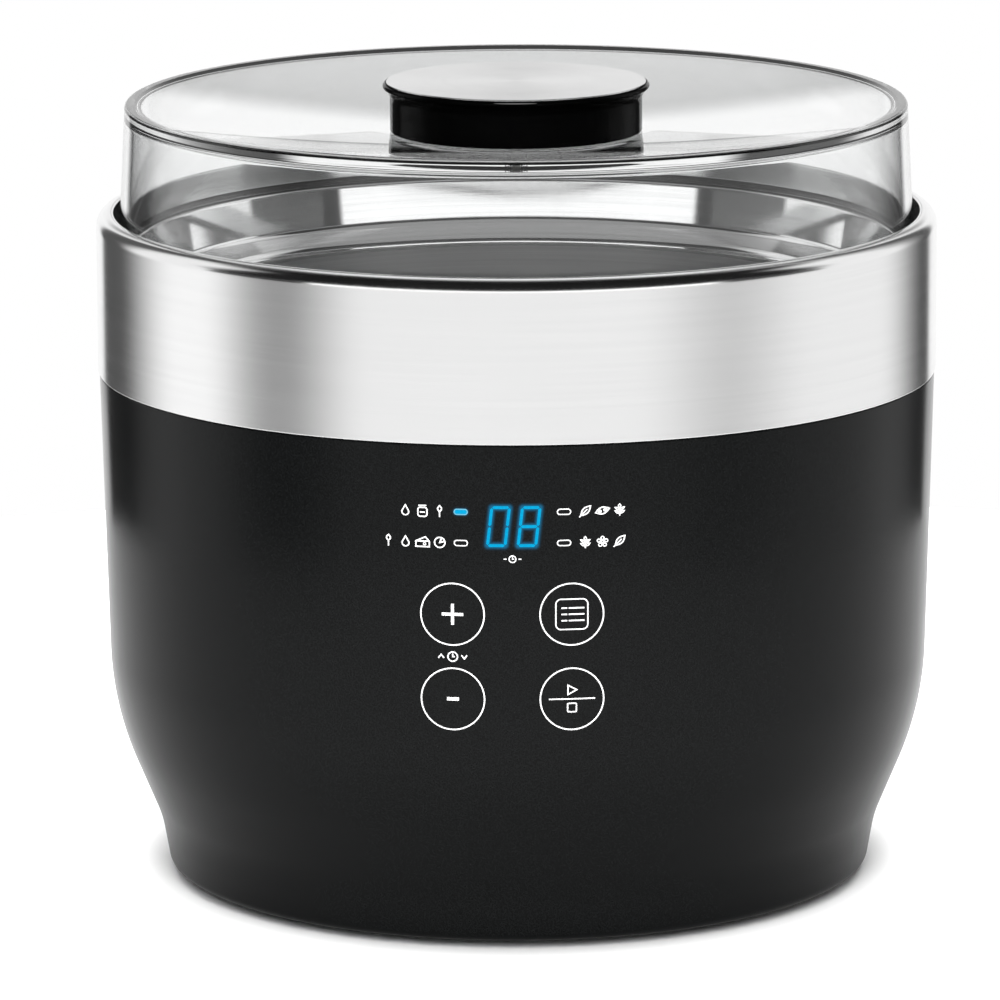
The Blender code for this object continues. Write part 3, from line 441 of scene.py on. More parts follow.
def shade(colour: Colour, factor: float) -> Colour:
    """A colour made lighter or darker."""
    return tuple(min(1.0, channel * factor) for channel in colour)


@dataclass(frozen=True)
class Finish:
    """What every finish has: a name, a colour and a roughness."""

    name: str
    colour: Colour
    roughness: float

    def material(self) -> bpy.types.Material:
        """The finish's material, made once."""
        made = bpy.data.materials.get(self.name)
        if made is None:
            paint = Paint(self.name)
            self.dress(paint)
            made = paint.material
        return made

    def dress(self, paint: Paint) -> None:
        """Lay the finish's nodes."""
        paint.set(Base_Color=(*self.colour, 1.0), Roughness=self.roughness)


@dataclass(frozen=True)
class MouldedPlastic(Finish):
    """An opaque moulded plastic with a fine eroded grain, worn a little on its edges."""

    grain: float = 0.35            # millimetres
    depth: float = 0.006
    specular: float = 0.3
    mottle: float = 0.25           # spread of the colour
    wear: float = 0.35
    glow: Colour | None = None     # light from behind, where the mesh says so

    def dress(self, paint: Paint) -> None:
        """Grain, mottling, wear and the light behind a window."""
        fine = paint.noise(paint.place(), scale=1 / self.grain, detail=2.0)
        cloud = paint.noise(paint.place(), scale=0.045, detail=4.0)
        speck = paint.noise(paint.place(), scale=2.6, detail=2.0)
        tone = paint.two_tone(speck, self.colour, self.mottle)
        worn = paint.math("MULTIPLY", paint.spread(paint.attribute("edge"), 0.45, 1.0, 0.0, self.wear),
                          paint.spread(cloud, 0.4, 0.65, 0.2, 1.0))
        tone = paint.blend(worn, tone, shade(self.colour, 3.0))
        rough = paint.vary(cloud, self.roughness - 0.03, self.roughness + 0.03)
        rough = paint.math("SUBTRACT", rough, paint.math("MULTIPLY", worn, 0.2))
        paint.set(Base_Color=tone, Roughness=rough, Specular_IOR_Level=self.specular,
                  Normal=paint.bump(fine, self.depth))
        if self.glow:
            paint.set(Emission_Color=(*self.glow, 1.0), Emission_Strength=paint.attribute("glow"))


@dataclass(frozen=True)
class GlossPlastic(Finish):
    """A polished plastic, with the faint waves of its moulding and hairline marks from wiping."""

    specular: float = 0.09
    wave: float = 0.004
    marks: float = 0.05

    def dress(self, paint: Paint) -> None:
        """Waves in the surface and fine marks in its roughness."""
        wave = paint.noise(paint.place(), scale=0.12, detail=1.0)
        mark = paint.noise(paint.stretched(0.25, 3.5, 1.2), detail=5.0, rough=0.7)
        dust = paint.noise(paint.place(), scale=1.6, detail=2.0)
        tone = paint.blend(paint.spread(dust, 0.55, 0.8, 0.0, 0.5), self.colour, shade(self.colour, 2.2))
        rough = paint.spread(mark, 0.52, 0.75, self.roughness, self.roughness + self.marks)
        paint.set(Base_Color=tone, Roughness=rough, Specular_IOR_Level=self.specular,
                  Normal=paint.bump(wave, self.wave))


@dataclass(frozen=True)
class BrushedMetal(Finish):
    """A metal with fine lines all one way, which stretch its reflections across them."""

    direction: Brushing = Brushing.ROUND
    line: float = 0.22             # width of a line
    length: float = 30.0           # length of a line
    depth: float = 0.0012
    anisotropy: float = 0.6
    contrast: float = 0.05
    wear: float = 0.25
    satin_below: float | None = None   # height in millimetres under which the metal is duller
    satin_roughness: float = 0.3

    def lines(self, paint: Paint, width: float, length: float) -> bpy.types.NodeSocket:
        """A pattern of lines of a width and a length."""
        if self.direction is Brushing.ROUND:
            return paint.noise(paint.rings(1 / length, 1 / width), detail=2.0, rough=0.6)
        return paint.noise(paint.stretched(1 / length, 1 / width, 1 / width), detail=2.0, rough=0.6)

    def tangent(self, paint: Paint) -> bpy.types.NodeSocket:
        """The direction that the lines run in."""
        if self.direction is Brushing.STRAIGHT:
            return paint.add("ShaderNodeCombineXYZ", inputs={"X": 1.0}).outputs[0]
        return paint.vector("CROSS_PRODUCT", {0: (0.0, 0.0, 1.0), 1: paint.place()})

    def dress(self, paint: Paint) -> None:
        """Two widths of line in the colour, the roughness and the surface."""
        fine = self.lines(paint, self.line, self.length)
        broad = self.lines(paint, self.line * 5, self.length * 2)
        cloud = paint.noise(paint.place(), scale=0.03, detail=3.0)
        both = paint.math("MULTIPLY_ADD", broad, 0.6, paint.math("MULTIPLY", fine, 0.4))
        tone = paint.two_tone(both, self.colour, self.contrast)
        worn = paint.spread(paint.attribute("edge"), 0.5, 1.0, 0.0, self.wear)
        tone = paint.blend(worn, tone, shade(self.colour, 1.2))
        rough = paint.vary(fine, self.roughness * 0.85, self.roughness * 1.15)
        rough = paint.math("ADD", rough, paint.spread(cloud, 0.35, 0.65, -0.015, 0.02))
        if self.satin_below is not None:
            height = paint.add("ShaderNodeSeparateXYZ", inputs={0: paint.place()}).outputs["Z"]
            fade = 0.8
            added = paint.spread(height, self.satin_below - fade, self.satin_below, self.satin_roughness, 0.0)
            rough = paint.math("ADD", rough, added)
        paint.set(Base_Color=tone, Roughness=rough, Metallic=1.0, Anisotropic=self.anisotropy,
                  Anisotropic_Rotation=0.25, Tangent=self.tangent(paint), Normal=paint.bump(fine, self.depth))


@dataclass(frozen=True)
class ClearPlastic(Finish):
    """A clear moulded plastic that lets lamps through."""

    index: float = 1.49

    def dress(self, paint: Paint) -> None:
        """Glass with faint moulding waves, mixed with a see-through shader for shadows."""
        wave = paint.noise(paint.place(), scale=0.05, detail=1.0)
        haze = paint.noise(paint.place(), scale=0.4, detail=4.0)
        tone = paint.blend(paint.vary(haze), self.colour, shade(self.colour, 0.985))
        paint.set(Base_Color=tone, Roughness=paint.spread(haze, 0.62, 0.8, self.roughness, 0.03),
                  IOR=self.index, Transmission_Weight=1.0, Normal=paint.bump(wave, 0.006))
        through = paint.add("ShaderNodeBsdfTransparent", inputs={"Color": (0.9, 0.91, 0.91, 1.0)})
        is_shadow = paint.add("ShaderNodeLightPath").outputs["Is Shadow Ray"]
        mixed = paint.add("ShaderNodeMixShader", inputs={0: is_shadow, 1: paint.shader, 2: through})
        paint.feed(paint.output.inputs["Surface"], mixed)


@dataclass(frozen=True)
class GlowingInk(Finish):
    """A screen-printed ink, a little uneven in its cover, with a painted glow that makes it shine a little by
    itself.
    """

    def dress(self, paint: Paint) -> None:
        """Uneven cover, a fine bump and a painted glow in the ink's own colour."""
        cover = paint.noise(paint.place(), scale=5.0, detail=3.0)
        tone = paint.blend(paint.vary(cover), shade(self.colour, 0.93), self.colour)
        # Emission_Strength 0.22 is a painted glow: the print gives off light of its own, though it is no
        # lamp.
        paint.set(Base_Color=tone, Roughness=paint.vary(cover, self.roughness, self.roughness + 0.1),
                  Emission_Color=(*self.colour, 1.0), Emission_Strength=0.22,
                  Normal=paint.bump(cover, 0.003))


@dataclass(frozen=True)
class Table(Finish):
    """The table's white, duller in reflections than it is seen directly."""

    mirrored: float = 0.42

    def dress(self, paint: Paint) -> None:
        """Full white for the camera, and less for every other ray."""
        is_seen = paint.add("ShaderNodeLightPath").outputs["Is Camera Ray"]
        tone = paint.blend(is_seen, shade(self.colour, self.mirrored), self.colour)
        paint.set(Base_Color=tone, Roughness=self.roughness, Specular_IOR_Level=0.0)


@dataclass(frozen=True)
class LitSegment(Finish):
    """A lit light, a little uneven in its brightness."""

    strength: float = 1.0

    def dress(self, paint: Paint) -> None:
        """Emission with a little unevenness."""
        uneven = paint.noise(paint.place(), scale=1.4, detail=2.0)
        tone = paint.blend(paint.spread(uneven, 0.35, 0.65, 0.0, 1.0), shade(self.colour, 0.86), self.colour)
        paint.set(Base_Color=(0.0, 0.01, 0.02, 1.0), Roughness=self.roughness, Specular_IOR_Level=0.05,
                  Emission_Color=tone, Emission_Strength=self.strength)


@dataclass(frozen=True)
class Striped(Finish):
    """A plain material with a pattern of stripes: wound tape, ribbon strands, board tracks."""

    other: Colour = (0.5, 0.5, 0.5)
    pitch: Place = (0.0, 0.0, 0.5)  # cycles per millimetre along each axis
    metallic: float = 0.0
    bend: float = 0.0

    def dress(self, paint: Paint) -> None:
        """Stripes of two colours, raised a little."""
        where = paint.stretched(*self.pitch)
        if self.bend:
            noise = paint.add("ShaderNodeTexNoise", inputs={"Vector": paint.place(), "Scale": 0.2})
            drift = paint.vector("SCALE", {0: noise.outputs["Color"], "Scale": self.bend})
            where = paint.vector("ADD", {0: where, 1: drift})
        axes = paint.add("ShaderNodeSeparateXYZ", inputs={0: where}).outputs
        total = paint.math("ADD", paint.math("ADD", axes["X"], axes["Y"]), axes["Z"])
        stripe = paint.math("PINGPONG", total, 0.5)
        band = paint.spread(stripe, 0.2, 0.3, 0.0, 1.0)
        grain = paint.noise(paint.place(), scale=3.0)
        tone = paint.blend(band, self.colour, self.other)
        tone = paint.blend(paint.spread(grain, 0.4, 0.8, 0.0, 0.3), tone, shade(self.colour, 0.6))
        paint.set(Base_Color=tone, Metallic=self.metallic,
                  Roughness=paint.vary(grain, self.roughness - 0.06, self.roughness + 0.08),
                  Normal=paint.bump(band, 0.05))


TABLE = Table("table_white", (0.92, 0.92, 0.92), 0.9)
BAND_STEEL = BrushedMetal("brushed_band_steel", (0.88, 0.88, 0.88), 0.17, line=0.3, length=60.0,
                          anisotropy=0.5, contrast=0.02, depth=0.0005)
WELL_STEEL = BrushedMetal("spun_well_steel", (0.82, 0.82, 0.82), 0.065, line=0.3, length=60.0,
                          anisotropy=0.35, contrast=0.09, depth=0.0008, satin_below=151.2,
                          satin_roughness=0.25)
INLAY_STEEL = BrushedMetal("spun_inlay_steel", (0.64, 0.64, 0.64), 0.16, line=0.16, length=14.0,
                           anisotropy=0.5, contrast=0.04)
ZINC = BrushedMetal("zinc_plate", (0.62, 0.61, 0.57), 0.34, Brushing.STRAIGHT, line=0.6, length=3.0,
                    anisotropy=0.1, contrast=0.14, depth=0.004)
ALUMINIUM = BrushedMetal("rolled_aluminium", (0.77, 0.78, 0.79), 0.36, Brushing.STRAIGHT, line=0.3,
                         length=25.0, contrast=0.08, depth=0.003)
BLACK_SATIN = MouldedPlastic("satin_black_housing", (0.0026, 0.0029, 0.0030), 0.14, grain=0.5, depth=0.006,
                             specular=0.135, mottle=0.9, glow=(0.0, 0.13, 0.26))
COLLAR_BLACK = MouldedPlastic("collar_black", (0.008, 0.008, 0.008), 0.35, specular=0.25)
INNER_BLACK = MouldedPlastic("inner_black", (0.02, 0.02, 0.02), 0.5, grain=0.8, depth=0.02)
RUBBER = MouldedPlastic("black_rubber", (0.022, 0.022, 0.022), 0.72, grain=0.25, depth=0.02, mottle=0.4)
SILICONE = MouldedPlastic("orange_silicone", (0.55, 0.15, 0.04), 0.6, grain=0.5, depth=0.03)
KNOB_GLOSS = GlossPlastic("gloss_black_knob", (0.0001, 0.0001, 0.0001), 0.03, specular=0.03, marks=0.02)
CLEAR = ClearPlastic("clear_lid", (0.985, 0.99, 0.99), 0.0)
GUIDE_CLEAR = ClearPlastic("clear_guide", (0.95, 0.96, 0.97), 0.08)
GLOWING_WHITE_INK = GlowingInk("white_print", (0.80, 0.80, 0.80), 0.5)
BLUE_LIGHT = LitSegment("blue_light", (0.0, 0.45, 0.82), 0.3)
LIT_FRAME = LitSegment("lit_light_frame", (0.25, 0.66, 0.88), 0.3)
BOARD = Striped("board_green", (0.012, 0.13, 0.05), 0.35, other=(0.03, 0.26, 0.10), pitch=(0.45, 0.0, 0.3),
                bend=2.0)
WINDING = Striped("transformer_tape", (0.62, 0.45, 0.06), 0.45, other=(0.45, 0.30, 0.03),
                  pitch=(0.0, 0.0, 0.35))
RED_SHEATH = Striped("lead_red", (0.42, 0.02, 0.015), 0.4, other=(0.5, 0.03, 0.02), pitch=(0.3, 0.3, 0.3))
RIBBON = Striped("ribbon_grey", (0.40, 0.40, 0.42), 0.5, other=(0.56, 0.56, 0.58), pitch=(0.8, 0.0, 0.0))


# ---------------------------------------------------------------- meshes

def add_object(name: str, mesh: bpy.types.Mesh) -> bpy.types.Object:
    """Link a mesh as an object at the origin."""
    item = bpy.data.objects.new(name, mesh)
    bpy.context.scene.collection.objects.link(item)
    return item


def line_mesh(name: str, points: Iterable[Sequence[float]], closed: bool) -> bpy.types.Mesh:
    """A mesh of edges through points in millimetres."""
    spots = [Vector(point) * MM for point in points]
    edges = [(index, index + 1) for index in range(len(spots) - 1)]
    if closed:
        edges.append((len(spots) - 1, 0))
    mesh = bpy.data.meshes.new(name)
    mesh.from_pydata(spots, edges, [])
    return mesh


def point_mesh(name: str, places: Sequence[Place], turns: Sequence[Place]) -> bpy.types.Mesh:
    """A mesh of loose points, each with the turn of what will stand on it."""
    mesh = bpy.data.meshes.new(name)
    mesh.from_pydata([Vector(place) * MM for place in places], [], [])
    store = mesh.attributes.new("turn", "FLOAT_VECTOR", "POINT")
    for index, turn in enumerate(turns):
        store.data[index].vector = turn
    return mesh


def polish(item: bpy.types.Object) -> bpy.types.Object:
    """Face a closed mesh outwards, note its edges for wear and smooth its shading."""
    work = bmesh.new()
    work.from_mesh(item.data)
    bmesh.ops.remove_doubles(work, verts=work.verts, dist=MERGE)
    bmesh.ops.recalc_face_normals(work, faces=work.faces)
    layer = work.verts.layers.float.new("edge")
    for vert in work.verts:
        folds = [edge.calc_face_angle_signed(0.0) for edge in vert.link_edges]
        vert[layer] = min(1.0, max(0.0, max(folds, default=0.0) / EDGE_TURN))
    work.to_mesh(item.data)
    work.free()
    item.data.shade_smooth()
    item.data.set_sharp_from_angle(angle=SHARP)
    return item


def turned(name: str, outline: Sequence[Point], finish: Finish,
           steps: int = SHELL_STEPS) -> bpy.types.Object:
    """Turn a (radius, height) outline round the axis.

    Args:
        name: the piece's name.
        outline: its points; it closes by itself unless both ends are on the axis.
        finish: what it is made of.
        steps: steps round the axis.

    Returns:
        The finished piece.
    """
    on_axis = outline[0][0] == 0 and outline[-1][0] == 0
    profile = line_mesh(name, [(radius, -height, 0.0) for radius, height in outline], not on_axis)
    values = {"Steps": steps, "Core": LATHE_CORE * MM, "Material": finish.material()}
    return polish(LATHE.run(add_object(name, profile), values))


def moved(item: bpy.types.Object, place: Place, turn: Place = UNTURNED) -> bpy.types.Object:
    """Put a piece's mesh at a place, turned by Euler angles, and leave its object at the origin."""
    item.data.transform(Matrix.Translation(Vector(place) * MM) @ Euler(turn).to_matrix().to_4x4())
    return item


def block(name: str, size: Place, centre: Place) -> bpy.types.Object:
    """A box, as a cutting tool."""
    work = bmesh.new()
    matrix = Matrix.Translation(Vector(centre) * MM) @ Matrix.Diagonal((*(Vector(size) * MM), 1.0))
    bmesh.ops.create_cube(work, size=1.0, matrix=matrix)
    mesh = bpy.data.meshes.new(name)
    work.to_mesh(mesh)
    work.free()
    return add_object(name, mesh)


def cut(item: bpy.types.Object, tool: bpy.types.Object) -> bpy.types.Object:
    """Take a tool's shape out of a piece and remove the tool."""
    modifier = item.modifiers.new("cut", "BOOLEAN")
    modifier.object = tool
    modifier.operation = "DIFFERENCE"
    modifier.solver = "EXACT"
    view = bpy.context.evaluated_depsgraph_get()
    mesh = bpy.data.meshes.new_from_object(item.evaluated_get(view))
    item.modifiers.remove(modifier)
    item.data = mesh
    bpy.data.objects.remove(tool)
    return polish(item)


def repeated(name: str, item: bpy.types.Object, finish: Finish, places: Sequence[Place],
             turns: Sequence[Place] | None = None) -> bpy.types.Object:
    """Set a copy of an item on each place and remove the item itself.

    Args:
        name: the name of the joined copies.
        item: the shape to repeat, about the origin.
        finish: what it is made of.
        places: where each copy goes.
        turns: Euler angles of each copy, none by default.

    Returns:
        One plain mesh that holds all the copies.
    """
    turns = turns or [UNTURNED] * len(places)
    base = add_object(name, point_mesh(name, places, turns))
    REPEAT.run(base, {"Item": item, "Material": finish.material()})
    bpy.data.objects.remove(item)
    return polish(base)


def keep(item: bpy.types.Object, body: str, slot: str, *nodes: str) -> bpy.types.Object:
    """Tie a finished piece to its body and hide the nodes that it stands for."""
    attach(item, body)
    if nodes:
        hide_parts(*nodes)
    stands_for = ", ".join(nodes) or "no node"
    LOG.info("%s: %d faces, on %s, for %s", item.name, len(item.data.polygons), body, stands_for)
    return item


def dress_nodes(finish: Finish, *names: str) -> None:
    """Give CAD nodes that stay visible a finish."""
    for name in names:
        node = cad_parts[name]
        if not node.material_slots:
            node.data.materials.append(finish.material())
        for slot in node.material_slots:
            slot.material = finish.material()
        LOG.info("%s: CAD node in %s", name, finish.name)


def numbered(stem: str, count: int) -> list[str]:
    """Node names stem_1, stem_2 and so on."""
    return [f"{stem}_{number}" for number in range(1, count + 1)]


def pan_head_screw(head_r: float, head_h: float, shank_r: float, shank_l: float) -> bpy.types.Object:
    """A pan-head screw with a cross recess and a thread.

    Args:
        head_r: radius of the head.
        head_h: height of the head.
        shank_r: radius over the thread.
        shank_l: length under the head.

    Returns:
        The screw, with its seat at z = 0 and its shank pointing up.
    """
    pitch, root_r, plain = shank_r * 0.7, shank_r * 0.78, 0.4
    dome_r, rim_z = head_r * 1.6, -head_h * 0.45
    outline = [(0.0, -head_h), *arc((0.0, dome_r - head_h), dome_r, -90, -60)[1:-1]]
    outline += [(head_r, rim_z), (head_r, 0.0), (shank_r, 0.0)]
    for turn in range(int((shank_l - shank_r - plain) / pitch)):
        low = plain + turn * pitch
        outline += [(root_r, low + pitch * 0.25), (shank_r, low + pitch * 0.5), (root_r, low + pitch * 0.75)]
    outline += [(root_r, shank_l - shank_r), (0.0, shank_l)]
    screw = turned("screw_item", outline, ZINC, SCREW_STEPS)
    arm, slot, deep = head_r * 0.95, head_r * 0.22, head_h * 0.9
    for size in ((arm, slot, deep), (slot, arm, deep)):
        screw = cut(screw, block("slot", size, (0.0, 0.0, -head_h)))
    return screw


# ---------------------------------------------------------------- the body's shells

@dataclass
class Housing:
    """The black outer shell, drawn in towards its foot, and the bush in its rear wall."""

    wall: float = 2.5
    heel_inset: float = 17.55
    heel_fillet: float = 3.0
    ankle_inset: float = 15.15
    ankle_z: float = 15.95
    ankle_fillet: float = 33.0
    shoulder_inset: float = 2.6
    shoulder_z: float = 45.9
    shoulder_fillet: float = 80.0
    seam_step: float = 0.3
    band_sheet: float = 0.8
    gland_hole_r: float = 4.8
    gland_z: float = 10.5
    gland_ease: float = 0.4        # bush to its hole
    gland_bore_r: float = 3.2
    gland_l: float = 8.0           # from the wall's outside to the bush's end
    rib_count: int = 3
    rib_pitch: float = 1.5

    def __post_init__(self) -> None:
        """Read the sizes that the frame gives."""
        self.band_r = radius_of("steel_band")
        self.seam_z = base_of("steel_band") - GAP
        self.foot_z = base_of("outer_housing")
        self.sleeve_z = top_of("outer_housing")
        self.sleeve_r = self.band_r - self.band_sheet - GAP

    def side(self) -> list[Point]:
        """The corners of the shell's side, heel to seam."""
        return [
            (self.band_r - self.heel_inset, self.foot_z),
            (self.band_r - self.ankle_inset, self.ankle_z),
            (self.band_r - self.shoulder_inset, self.shoulder_z),
            (self.band_r - self.seam_step, self.seam_z),
        ]

    def outline(self) -> list[Point]:
        """The whole section of the shell, with its sleeve behind the band."""
        heel, ankle, shoulder, seam = self.side()
        in_heel, in_ankle, in_shoulder, _ = offset(self.side(), self.wall)
        step = 0.25
        return rounded([
            (*heel, self.heel_fillet),
            (*ankle, self.ankle_fillet),
            (*shoulder, self.shoulder_fillet),
            (*seam, step),
            (self.sleeve_r, seam[1], 0.0),
            (self.sleeve_r, self.sleeve_z, step),
            (self.sleeve_r - self.wall, self.sleeve_z, step),
            (*in_shoulder, self.shoulder_fillet - self.wall),
            (*in_ankle, self.ankle_fillet + self.wall),
            (in_heel[0], self.foot_z, step),
        ])

    def gland_place(self) -> tuple[Place, Place]:
        """Place and turn of the bush, square to the rear wall."""
        heel, ankle = self.side()[:2]
        lean = math.atan2(ankle[0] - heel[0], ankle[1] - heel[1])
        share = (self.gland_z - heel[1]) / (ankle[1] - heel[1])
        reach = heel[0] + (ankle[0] - heel[0]) * share
        return (0.0, reach, self.gland_z), (-(math.pi / 2 + lean), 0.0, 0.0)

    def make_shell(self) -> bpy.types.Object:
        """Turn the shell and drill it for the bush."""
        shell = turned("housing_shell", self.outline(), BLACK_SATIN)
        depth = 6.0
        section = [(0.0, -depth), (self.gland_hole_r, -depth), (self.gland_hole_r, depth), (0.0, depth)]
        drill = turned("drill", section, INNER_BLACK, SMALL_STEPS)
        return cut(shell, moved(drill, *self.gland_place()))

    def make_gland(self) -> bpy.types.Object:
        """The rubber bush with its flange, its ribs and its bore."""
        bush_r, bore_r = self.gland_hole_r - self.gland_ease, self.gland_bore_r
        inner = -(self.wall + 1.1)
        barb_r, flange_r, neck_r = bush_r + 0.8, bush_r + 1.4, bush_r - 0.5
        corners = [(bore_r, inner - 1.6, 0.2), (barb_r, inner - 1.6, 0.3), (barb_r, inner, 0.2),
                   (bush_r, inner, 0.0), (bush_r, 0.5, 0.0), (flange_r, 0.5, 0.2), (flange_r, 1.8, 0.3),
                   (bush_r, 2.6, 0.3)]
        for rib in range(self.rib_count):
            low, rib_r = 3.4 + rib * self.rib_pitch, bush_r - 0.1
            corners += [(neck_r, low, 0.1), (rib_r, low + 0.35, 0.1), (rib_r, low + 0.85, 0.1),
                        (neck_r, low + 1.2, 0.1)]
        corners += [(neck_r, self.gland_l, 0.3), (bore_r, self.gland_l, 0.3)]
        gland = turned("cord_bush", rounded(corners), RUBBER, SMALL_STEPS)
        return moved(gland, *self.gland_place())

    def build(self) -> bpy.types.Object:
        """Make the shell and the bush."""
        shell = keep(self.make_shell(), "base", "satin_black", "outer_housing")
        keep(self.make_gland(), "base", "black_rubber", "cord_gland")
        return shell


@dataclass
class SteelRim:
    """The brushed band with its rolled rim, and the black collar under its lip."""

    sheet: float = 0.8
    rim_fillet: float = 3.5
    crest_w: float = 0.6
    lip_fillet: float = 0.3
    lip_depth: float = 7.0
    lip_lean: float = 0.78         # how far the lip's lower edge comes in
    hem_fillet: float = 0.3

    def make_band(self) -> bpy.types.Object:
        """The band: a wall, a rolled rim and a lip turned down inside."""
        band_r, rim_z, seam_z = radius_of("steel_band"), top_of("steel_band"), base_of("steel_band")
        lip_r = band_r - self.rim_fillet - self.crest_w - self.lip_fillet
        inner_fillet = self.rim_fillet - self.sheet
        outline = rounded([
            (band_r, seam_z, self.hem_fillet),
            (band_r, rim_z, self.rim_fillet),
            (lip_r, rim_z, self.lip_fillet),
            (lip_r - self.lip_lean, rim_z - self.lip_depth, 0.2),
            (lip_r - self.lip_lean + self.sheet, rim_z - self.lip_depth, 0.2),
            (lip_r + self.sheet, rim_z - self.sheet, 0.1),
            (band_r - self.sheet, rim_z - self.sheet, inner_fillet),
            (band_r - self.sheet, seam_z, self.hem_fillet),
        ])
        return turned("steel_rim", outline, BAND_STEEL)

    def make_collar(self) -> bpy.types.Object:
        """The collar that fills the top of the wall and carries the well's flange."""
        shelf_t, spigot_l, spigot_t = 2.5, 5.5, 2.0
        top_z = top_of("top_collar")
        outer_r = radius_of("top_collar")
        shelf_z = base_of("tub_gasket") - GAP
        low_z = top_of("outer_housing") + GAP
        shelf_r = radius_of("heating_tub") - 3.2
        face_r = radius_of("heating_tub") + 1.1
        spigot_r = outer_r - 2.5 - GAP
        outline = rounded([
            (shelf_r, shelf_z - shelf_t, 0.3), (spigot_r - spigot_t, shelf_z - shelf_t, 0.3),
            (spigot_r - spigot_t, low_z - spigot_l, 0.2), (spigot_r, low_z - spigot_l, 0.2),
            (spigot_r, low_z, 0.1), (outer_r, low_z, 0.1), (outer_r, top_z, 0.3), (face_r, top_z, 0.5),
            (face_r, shelf_z, 0.1), (shelf_r, shelf_z, 0.2),
        ])
        return turned("collar_ring", outline, COLLAR_BLACK)

    def build(self) -> None:
        """Make the band, the collar and the gasket."""
        keep(self.make_band(), "base", "brushed_steel", "steel_band")
        keep(self.make_collar(), "base", "satin_black", "top_collar")
        low, high, outer = base_of("tub_gasket"), top_of("tub_gasket"), radius_of("tub_gasket")
        inner = outer - 2.9
        ring = rounded([(inner, low, 0.2), (outer, low, 0.2), (outer, high, 0.2), (inner, high, 0.2)])
        keep(turned("gasket_ring", ring, RUBBER), "base", "black_rubber", "tub_gasket")


@dataclass
class Well:
    """The steel well with its funnel and flange, and the heater under it."""

    bore_r: float = 94.0
    sheet: float = 0.8
    floor_fillet: float = 8.0
    funnel_w: float = 7.0
    funnel_h: float = 15.5
    knee_w: float = 5.0
    knee_h: float = 4.2
    bore_fillet: float = 3.6
    knee_fillet: float = 2.6
    seat_fillet: float = 0.9

    def outline(self) -> list[Point]:
        """The well's section: the inside and, a sheet further out, the outside."""
        seat_z = top_of("heating_tub")
        floor_z = base_of("heating_tub") + self.sheet
        flange_r = radius_of("heating_tub")
        funnel_z = seat_z - self.funnel_h
        ring_r = 66.0
        inside = rounded([
            (0.0, floor_z, 0.0),
            (ring_r, floor_z, 1.0),
            (ring_r + 1.5, floor_z + 0.5, 1.0),
            (ring_r + 8.0, floor_z + 0.5, 1.0),
            (ring_r + 9.5, floor_z, 1.0),
            (self.bore_r, floor_z, self.floor_fillet),
            (self.bore_r, funnel_z, self.bore_fillet),
            (self.bore_r + self.knee_w, funnel_z + self.knee_h, self.knee_fillet),
            (self.bore_r + self.funnel_w, seat_z, self.seat_fillet),
            (flange_r, seat_z, 0.0),
        ], closed=False)
        outside = offset(inside, -self.sheet)
        outside[0] = (0.0, outside[0][1])
        return inside + outside[::-1]

    def build(self) -> None:
        """Make the well and dress the heater's pieces."""
        keep(turned("steel_well", self.outline(), WELL_STEEL), "base", "tub_steel", "heating_tub")
        dress_nodes(SILICONE, "heater_mat")
        dress_nodes(ALUMINIUM, "heater_plate", "temperature_sensor")
        dress_nodes(ZINC, "fuse_clip", "heat_shield", *numbered("heater_stud", 3), *numbered("heater_nut", 3))
        dress_nodes(INNER_BLACK, "sensor_holder")
        dress_nodes(RIBBON, "thermal_fuse")


@dataclass
class Underside:
    """The base plate's feet and screws."""

    foot_r: float = 7.5
    peg_r: float = 2.5
    screw_head_r: float = 3.2

    def make_foot(self) -> bpy.types.Object:
        """One foot: a pad with two grooves under it, a neck and a barb."""
        pad_z = base_of("base_plate") - GAP
        barb_z = pad_z + 2 * GAP + 2.5
        corners = [(0.0, 0.0, 0.0)]
        for groove_r in (2.6, 5.0):
            corners += [(groove_r - 0.4, 0.0, 0.1), (groove_r - 0.2, 0.5, 0.1), (groove_r + 0.2, 0.5, 0.1),
                        (groove_r + 0.4, 0.0, 0.1)]
        corners += [(self.foot_r, 0.0, 0.5), (self.foot_r, pad_z, 0.3), (self.peg_r, pad_z, 0.0),
                    (self.peg_r, barb_z, 0.0), (self.peg_r + 0.8, barb_z, 0.2),
                    (self.peg_r * 0.6, barb_z + 2.2, 0.2), (0.0, barb_z + 2.2, 0.0)]
        return turned("foot_item", rounded(corners, closed=False), RUBBER, SMALL_STEPS)

    def build(self) -> None:
        """Make the feet and the screws and dress the base plate."""
        dress_nodes(INNER_BLACK, "base_plate")
        feet = numbered("foot", 4)
        places = [(middle_of(name)[0], middle_of(name)[1], 0.0) for name in feet]
        keep(repeated("rubber_feet", self.make_foot(), RUBBER, places), "base", "black_rubber", *feet)
        screws = numbered("base_screw", 4)
        seat_z = base_of("base_plate") - GAP
        places = [(middle_of(name)[0], middle_of(name)[1], seat_z) for name in screws]
        item = pan_head_screw(self.screw_head_r, 1.5, 1.3, 14.0)
        keep(repeated("base_screws", item, ZINC, places), "base", "zinc_steel", *screws)


